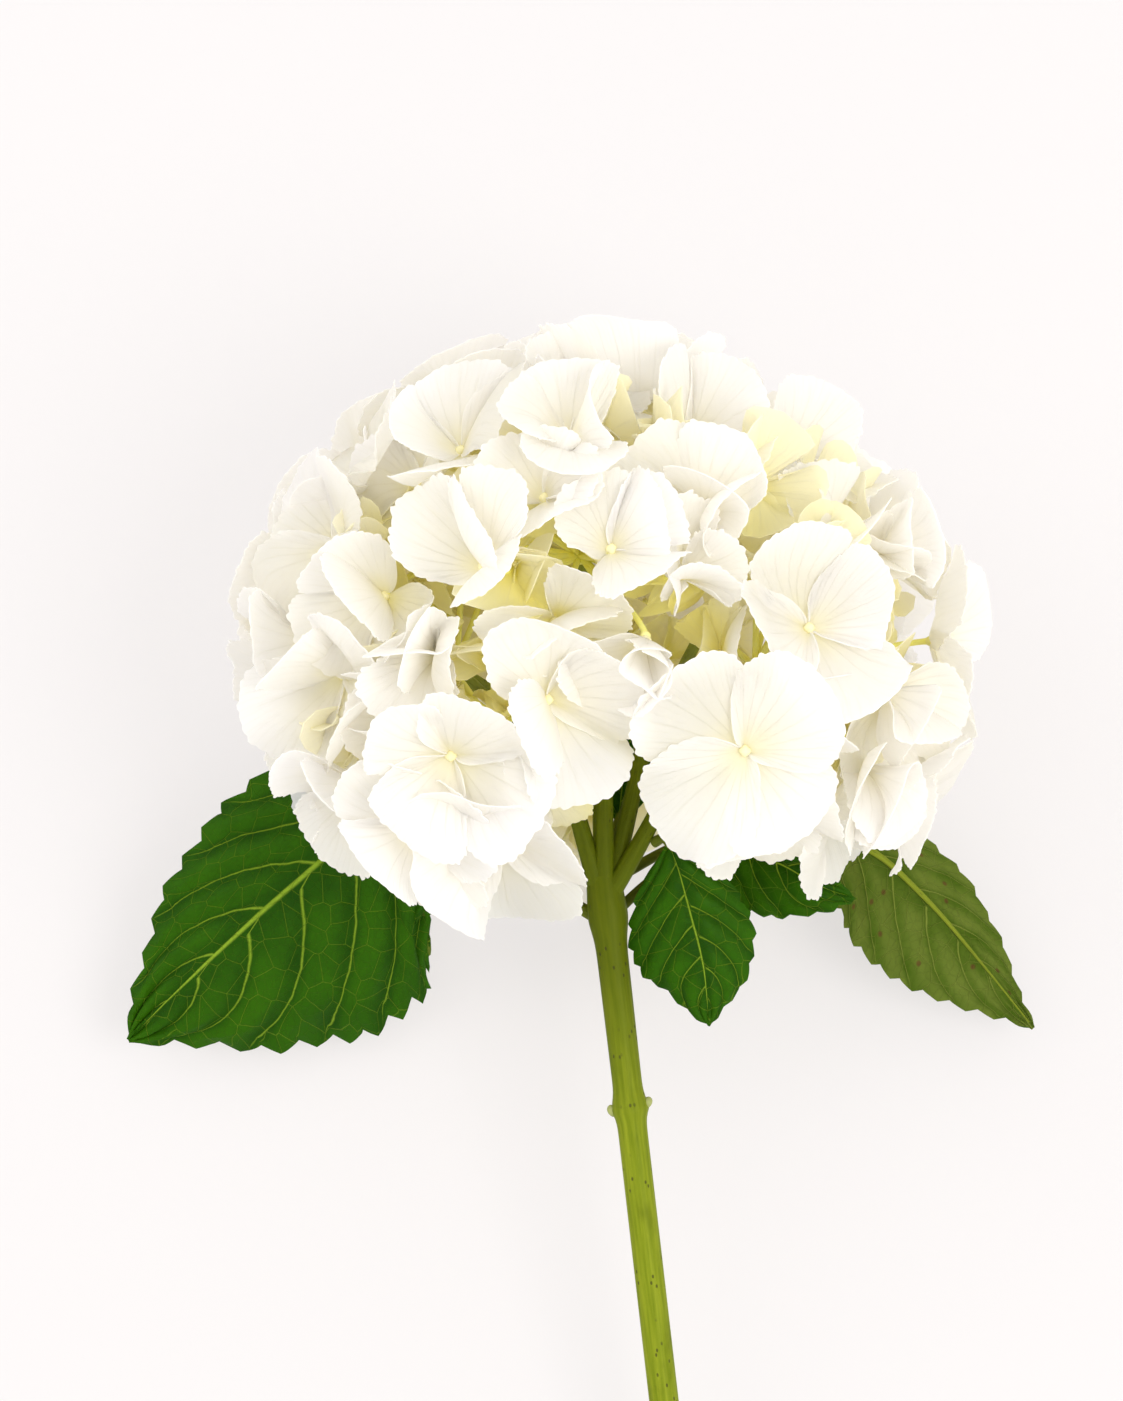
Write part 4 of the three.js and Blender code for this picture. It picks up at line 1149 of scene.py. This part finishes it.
def leaf_colouring(graph, look, dark, light, vein_colour, vein_share):
    """Colour, height and vein mask of a blade side: rib, side veins, a net between them, and painted shade of
    the pucker between the side veins.
    """
    _, vein, side = graph.map("pattern")
    metric, _, _ = graph.map("marks")
    out = abs(side)
    place = graph.place()
    drift = graph.noise(metric, 1.6, 2) - 0.5
    past_vein = (vein + drift * 0.12).fraction()
    line = abs(past_vein - 0.5) * 2  # 1 on a side vein
    width = 0.095 + out * -0.05
    side_vein = ((line - 1) / width + 1).clipped() * out.eased(1.02, 0.86)
    rib = out.eased(0.026, 0.006)
    net = graph.cells(metric, 1.6).eased(0.03, 0.0)
    fine = graph.cells(metric, 4.5).eased(0.05, 0.0)
    main = rib.most(side_vein)
    all_veins = main.most(net * 0.32).most(fine * 0.06)
    tone = graph.noise(metric, 0.9, 3, 0.6)
    grain = graph.noise(place, 900, 2)
    # Painted shade: the blade is darker just past each side vein and lighter from midway on to the next, as
    # light and shade would fall on the pucker.
    painted_quilt_shade = past_vein.eased(0.0, 0.55) * line.eased(1.0, 0.6) * out.eased(0.05, 0.3)
    body = graph.mix((tone * 1.1 - 0.3 + painted_quilt_shade * 0.5).clipped(), dark, light)
    body = graph.mix(grain * 0.18, body, light)
    body = graph.mix(all_veins * vein_share, body, vein_colour)
    height = grain * 0.08 - net * 0.35 - fine * 0.18
    return body, height, main, tone


def leaf_upper_material(look):
    """Upper side of a leaf: dark satin green, and paler veins sunk into it."""
    graph = Graph("leaf green")
    body, height, main, tone = leaf_colouring(
        graph, look, look.leaf_dark, look.leaf_light, look.leaf_vein, 0.85
    )
    normal = graph.bump(height - main * 0.5, 0.0006, 0.8)
    shader = leafy_shader(
        graph, body, 0.42 + tone * 0.16, normal, tuple(look.leaf_glow), 0.06, specular=0.05
    )
    return graph.finish(shader)


def leaf_under_material(look):
    """Under side of a leaf: pale olive and dull, with raised veins and a few brown marks."""
    graph = Graph("leaf underside")
    body, height, main, _ = leaf_colouring(
        graph, look, look.leaf_under_dark, look.leaf_under, look.leaf_under_vein, 0.6
    )
    metric, _, _ = graph.map("marks")
    spots = graph.cells(metric, 0.8, "F1").eased(0.075, 0.03)
    body = graph.mix(spots * 0.8, body, look.leaf_mark)
    normal = graph.bump(main * 0.8 - height, 0.0006, 0.8)
    shader = leafy_shader(graph, body, 0.62, normal, tuple(look.leaf_glow), 0.1, specular=0.03)
    return graph.finish(shader)


def stem_material(look):
    """Fresh stem: yellow-green with long streaks, a redder bloom towards the rays, and small dark
    lenticels drawn out along it."""
    graph = Graph("stem green")
    _, turn, length = graph.map("pattern")
    _, _, kind = graph.map("marks")
    place = graph.place()
    streak = graph.noise(graph.vector(turn * 26, length * 0.55), 1, 3)
    patchy = graph.noise(graph.vector(turn * 4, length * 0.7), 1, 3)
    colour = graph.mix((streak * 1.4 - 0.2).clipped(), look.stem_dark, look.stem_light)
    upper = length.eased(7.0, 1.0) * kind.eased(1.0, 0.9)
    colour = graph.mix((patchy.eased(0.5, 0.75) * 0.4).most(upper * 0.7), colour, look.stem_olive)
    spot = graph.cells(graph.vector(turn * 9, length * 2.2), 1, "F1")
    crowded = graph.noise(graph.vector(turn * 3, length * 0.9, 4), 1, 1)
    speck = spot.eased(0.13, 0.07) * crowded.eased(0.48, 0.6)
    colour = graph.mix(speck * 0.75, colour, look.stem_speck)
    colour = graph.mix(kind.eased(0.1, 0.9) * 0.5, colour, look.pedicel_green)
    fine = graph.noise(place, 1100, 2)
    normal = graph.bump(streak * 0.5 + fine * 0.25 - speck * 0.4, 0.0004, 0.7)
    surface = graph.node(
        "ShaderNodeBsdfPrincipled",
        None,
        {
            "Base Color": colour,
            "Roughness": 0.42 + fine * 0.14,
            "Normal": normal,
            "Specular IOR Level": 0.06,
            "Subsurface Weight": 0.08,
            "Subsurface Radius": (0.001, 0.0016, 0.0004),
        },
    )[0]
    return graph.finish(surface)


def cut_material(look):
    """The cut end: a green rind, paler wood flecked with vessels, and a white pith."""
    graph = Graph("cut wood")
    _, core, _ = graph.map("marks")
    place = graph.place()
    flecks = graph.cells(place, 2600, "F1").eased(0.3, 0.15)
    colour = graph.ramp(
        core,
        (0.0, look.cut_pith),
        (0.38, look.cut_pith),
        (0.46, look.cut_wood),
        (0.86, look.cut_wood),
        (0.94, look.stem_dark),
    )
    colour = graph.mix(flecks * core.eased(0.35, 0.5) * 0.4, colour, look.stem_dark)
    normal = graph.bump(flecks, 0.0002, 0.5)
    surface = graph.node(
        "ShaderNodeBsdfPrincipled", None, {"Base Color": colour, "Roughness": 0.6, "Normal": normal}
    )[0]
    return graph.finish(surface)


def floor_material(look):
    """Matt pale floor with the faintest unevenness, lit a little from within to stay white."""
    graph = Graph("studio floor")
    tone = graph.noise(graph.place(), 1.5, 2)
    colour = graph.mix(tone, look.floor_pale, look.floor_shade)
    surface = graph.node(
        "ShaderNodeBsdfPrincipled",
        None,
        {
            "Base Color": colour,
            "Roughness": 0.9,
            "Specular IOR Level": 0.1,
            "Emission Color": tuple(look.floor_light),
            "Emission Strength": look.floor_glow,
        },
    )[0]
    graph.material.cycles.emission_sampling = "NONE"
    return graph.finish(surface)


# ---- What a user would change ----
def length_property(name, millimetres, description):
    return bpy.props.FloatProperty(
        name=name, description=description, default=millimetres * MM, min=0, precision=5, unit="LENGTH"
    )


def colour_property(name, default, description):
    return bpy.props.FloatVectorProperty(
        name=name, description=description, default=default, subtype="COLOR", size=3, min=0, max=1
    )


def share_property(name, default, description):
    return bpy.props.FloatProperty(
        name=name, description=description, default=default, min=0, max=1, subtype="FACTOR"
    )


class HydrangeaShape(bpy.types.PropertyGroup):
    """Sizes of the flower's finer forms."""

    sepal_thickness: length_property("Sepal thickness", 0.28, "Thickness of a sepal")
    tooth_depth: length_property("Tooth depth", 0.75, "Depth of the teeth along a sepal")
    ruffle: length_property("Ruffle", 0.9, "Height of the waves along a sepal's edge")
    leaf_thickness: length_property("Leaf thickness", 0.5, "Thickness of a leaf blade")
    pucker: length_property("Pucker", 1.3, "How far a blade rises between its side veins")
    leaf_wave: length_property("Leaf wave", 0.7, "Height of the waves along a leaf's edge")


class HydrangeaFinish(bpy.types.PropertyGroup):
    """Colours of the flower and its stage."""

    sepal_white: colour_property("Sepal", (0.995, 0.99, 0.99), "Open part of a sepal")
    # Cream towards a sepal's base is its own colour; deep in the head the same cream is painted warm shade.
    sepal_cream_and_painted_shade: colour_property("Sepal cream", (1.0, 0.95, 0.76), "Towards a sepal's base")
    # Yellow-green that a sepal has at its base, and painted shade deep in the head, standing for the warm
    # light among the sepals.
    sepal_base_and_painted_shade: colour_property("Recess", (1.0, 0.92, 0.15), "Base of a sepal and deep in the head")
    # Painted cool shade: the lavender-grey tint that some sepals get at random, and below it how strong it
    # may get.
    sepal_painted_cool_shade: colour_property("Sepal tint", (0.89, 0.89, 0.96), "Cool tint on some sepals")
    sepal_vein: colour_property("Sepal vein", (0.80, 0.78, 0.66), "Veins of a sepal")
    sepal_glow: colour_property("Sepal glow", (1.0, 0.987, 0.955), "Light that comes through a sepal")
    painted_cool_shade_share: share_property("Cool tint", 0.6, "How strong the cool tint may get")
    sepal_translucency: share_property("Sepal translucency", 0.65, "Share of light let through")
    pedicel_green: colour_property("Pedicel", (0.84, 0.87, 0.38), "Pedicels and rays' ends")
    bud_cream: colour_property("Bud", (0.88, 0.82, 0.48), "Bud in the middle of a floret")
    leaf_dark: colour_property("Leaf, dark", (0.008, 0.044, 0.001), "Upper side, darker parts")
    leaf_light: colour_property("Leaf, light", (0.028, 0.108, 0.001), "Upper side, lighter parts")
    leaf_vein: colour_property("Leaf vein", (0.25, 0.38, 0.025), "Veins on the upper side")
    leaf_glow: colour_property("Leaf glow", (0.13, 0.29, 0.01), "Light that comes through a leaf")
    leaf_under: colour_property("Under side", (0.135, 0.178, 0.026), "Under side, lighter parts")
    leaf_under_dark: colour_property("Under side, dark", (0.036, 0.082, 0.001), "Under side, darker parts")
    leaf_under_vein: colour_property("Under side vein", (0.34, 0.40, 0.07), "Veins on the under side")
    leaf_mark: colour_property("Leaf mark", (0.10, 0.045, 0.015), "Brown marks on the under side")
    stem_light: colour_property("Stem, light", (0.27, 0.31, 0.018), "Lighter streaks of the stem")
    stem_dark: colour_property("Stem, dark", (0.115, 0.16, 0.003), "Darker streaks of the stem")
    stem_olive: colour_property("Stem, olive", (0.052, 0.07, 0.0005), "Patches and upper end of the stem")
    stem_speck: colour_property("Lenticel", (0.045, 0.04, 0.012), "Dark specks on the stem")
    cut_wood: colour_property("Cut wood", (0.56, 0.60, 0.30), "Ring of the cut end")
    cut_pith: colour_property("Pith", (0.86, 0.87, 0.74), "Middle of the cut end")
    floor_pale: colour_property("Floor", (0.26, 0.2515, 0.25), "Studio floor")
    floor_shade: colour_property("Floor, shade", (0.252, 0.2435, 0.242), "Fainter parts of the floor")
    floor_light: colour_property("Floor light", (1.0, 0.965, 0.955), "Light that the floor gives")
    floor_glow: share_property("Floor glow", 0.618, "Strength of the floor's light")


# ---- Operators ----
class HYDRANGEA_OT_head(bpy.types.Operator):
    """Makes the sepals, buds and pedicels of every cluster"""

    bl_idname = "hydrangea.head"
    bl_label = "Flower Head"

    def execute(self, context):
        look = context.scene.hydrangea_shape
        finish = context.scene.hydrangea_finish
        sepal, stalk = sepal_material(finish), stalk_material(finish)
        clusters = fill_head()
        add_fillers(clusters)
        everyone = [one for cluster in clusters for one in cluster["florets"] + cluster["fillers"]]
        loose = Draw(SEED + 2)
        for floret in everyone:
            floret.loosen(loose)
        for name, cluster in zip(HUBS, clusters):
            draw = Draw(sum(map(ord, name)))
            petals, stalks = [], [blob(cluster["hub"], cluster["hub"], HUB_RADIUS * 0.85, 0.9, 5, 0.15)]
            # Fillers sit deep among the other florets and get 0.4 more depth, so the sepal material paints
            # more recess shade on them.
            kinds = ((cluster["florets"], FINE_SEPAL, 0), (cluster["fillers"], PLAIN_SEPAL, 0.4))
            for florets, grid, depth in kinds:
                for floret in florets:
                    near = neighbours_of(floret, everyone)
                    for k in range(4):
                        petals.append(sepal_patch(floret, k, cluster, near, look, draw, grid, depth))
                    stalks += stalk_patches(floret, cluster)
            make_piece(f"petals_{name}", petals, [sepal], [f"cluster_{name}"])
            make_piece(f"pedicels_{name}", stalks, [stalk], [f"cluster_{name}"])
        return {"FINISHED"}


class HYDRANGEA_OT_leaves(bpy.types.Operator):
    """Makes the foliage leaves and the small bract leaf"""

    bl_idname = "hydrangea.leaves"
    bl_label = "Leaves"

    def execute(self, context):
        look = context.scene.hydrangea_shape
        finish = context.scene.hydrangea_finish
        materials = [leaf_upper_material(finish), leaf_under_material(finish), stem_material(finish)]
        for name, leaf in LEAVES.items():
            make_piece(f"blade_{name}", leaf_patches(leaf, look), materials, [name])
        return {"FINISHED"}


class HYDRANGEA_OT_stem(bpy.types.Operator):
    """Makes the stem with its rays and its slanted cut"""

    bl_idname = "hydrangea.stem"
    bl_label = "Stem"

    def execute(self, context):
        finish = context.scene.hydrangea_finish
        materials = [stem_material(finish), cut_material(finish)]
        make_piece("green_stem", stem_patches(), materials, ["stem"])
        return {"FINISHED"}


FLOOR_SPAN = 4.0  # m
LIGHTS = {
    "key": {"at": (0.75, -0.35, 1.35), "size": 0.9, "power": 10.0, "colour": (1.0, 0.995, 0.985)},
    "fill": {"at": (-1.1, 0.5, 1.1), "size": 1.3, "power": 6.0, "colour": (0.99, 0.99, 1.0)},
}
WORLD_COLOUR = (0.99, 0.993, 1.0)
WORLD_STRENGTH = 1.08
LIGHT_BOUNCES = 16
VIEW_HEIGHT = 1.2  # m from the camera to the point that it looks at
VIEW_ELEVATION = math.radians(77)
FRAME_SIZE = (1123, 1401)  # px
MM_IN_PIXEL = 0.24
AIM = (-10.44, 45.48, 20.0)  # mm in the flower's own frame


class HYDRANGEA_OT_stage(bpy.types.Operator):
    """Makes the pale floor, the soft lights and the camera that looks down on the flower"""

    bl_idname = "hydrangea.stage"
    bl_label = "Stage"

    def execute(self, context):
        scene = context.scene
        side = np.linspace(-FLOOR_SPAN / 2, FLOOR_SPAN / 2, 5)
        x, y = np.meshgrid(side, side)
        mesh = bpy.data.meshes.new("floor")
        points = np.stack([x, y, 0 * x], -1).reshape(-1, 3)
        mesh.from_pydata(points.tolist(), [], grid_triangles(5, 5).tolist())
        mesh.materials.append(floor_material(scene.hydrangea_finish))
        floor = bpy.data.objects.new("floor", mesh)
        scene.collection.objects.link(floor)
        for name, light in LIGHTS.items():
            lamp = bpy.data.lights.new(name, "AREA")
            lamp.shape = "DISK"
            lamp.size = light["size"]
            lamp.energy = light["power"]
            lamp.color = light["colour"]
            holder = bpy.data.objects.new(name, lamp)
            holder.location = light["at"]
            toward = np.array([0, 0.04, 0.05]) - light["at"]
            holder.rotation_euler = turned_to(toward)
            scene.collection.objects.link(holder)
        world = bpy.data.worlds.new("studio")
        world.use_nodes = True
        sky = world.node_tree.nodes["Background"]
        sky.inputs[0].default_value = (*WORLD_COLOUR, 1)
        sky.inputs[1].default_value = WORLD_STRENGTH
        scene.world = world
        scene.view_settings.view_transform = "Standard"
        scene.cycles.max_bounces = LIGHT_BOUNCES
        scene.cycles.diffuse_bounces = LIGHT_BOUNCES
        scene.cycles.transmission_bounces = LIGHT_BOUNCES
        lens = bpy.data.cameras.new("camera")
        lens.sensor_width = 36
        lens.lens = 36 * VIEW_HEIGHT / (max(FRAME_SIZE) * MM_IN_PIXEL * MM)
        lens.clip_start = 0.05
        camera = bpy.data.objects.new("camera", lens)
        back = np.array([0, -math.cos(VIEW_ELEVATION), math.sin(VIEW_ELEVATION)])
        camera.location = to_row(AIM) + back * VIEW_HEIGHT
        camera.rotation_euler = turned_to(-back)
        scene.collection.objects.link(camera)
        scene.camera = camera
        return {"FINISHED"}


def turned_to(direction):
    """The turn that points an object's -z along a direction with its y as near up as may be."""
    x, y, z = unit(direction)
    tilt = math.acos(max(-1, min(1, -z)))
    return (tilt, 0, math.atan2(-x, y) if abs(x) + abs(y) > 1e-9 else 0)


class HYDRANGEA_PT_panel(bpy.types.Panel):
    """Lists what can be made"""

    bl_label = "Cut Hydrangea"
    bl_idname = "HYDRANGEA_PT_panel"
    bl_space_type = "VIEW_3D"
    bl_region_type = "UI"
    bl_category = "Hydrangea"

    def draw(self, context):
        for operator in OPERATORS:
            self.layout.operator(operator.bl_idname)
        for group in (context.scene.hydrangea_shape, context.scene.hydrangea_finish):
            column = self.layout.column()
            for name in group.__annotations__:
                column.prop(group, name)


OPERATORS = (HYDRANGEA_OT_stage, HYDRANGEA_OT_stem, HYDRANGEA_OT_leaves, HYDRANGEA_OT_head)
CLASSES = (HydrangeaShape, HydrangeaFinish, *OPERATORS, HYDRANGEA_PT_panel)


def register():
    for made in CLASSES:
        bpy.utils.register_class(made)
    bpy.types.Scene.hydrangea_shape = bpy.props.PointerProperty(type=HydrangeaShape)
    bpy.types.Scene.hydrangea_finish = bpy.props.PointerProperty(type=HydrangeaFinish)


def unregister():
    del bpy.types.Scene.hydrangea_finish
    del bpy.types.Scene.hydrangea_shape
    for made in reversed(CLASSES):
        bpy.utils.unregister_class(made)


def main():
    register()
    bpy.ops.hydrangea.stage()
    bpy.ops.hydrangea.stem()
    bpy.ops.hydrangea.leaves()
    bpy.ops.hydrangea.head()
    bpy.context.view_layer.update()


if __name__ == "__main__":
    main()
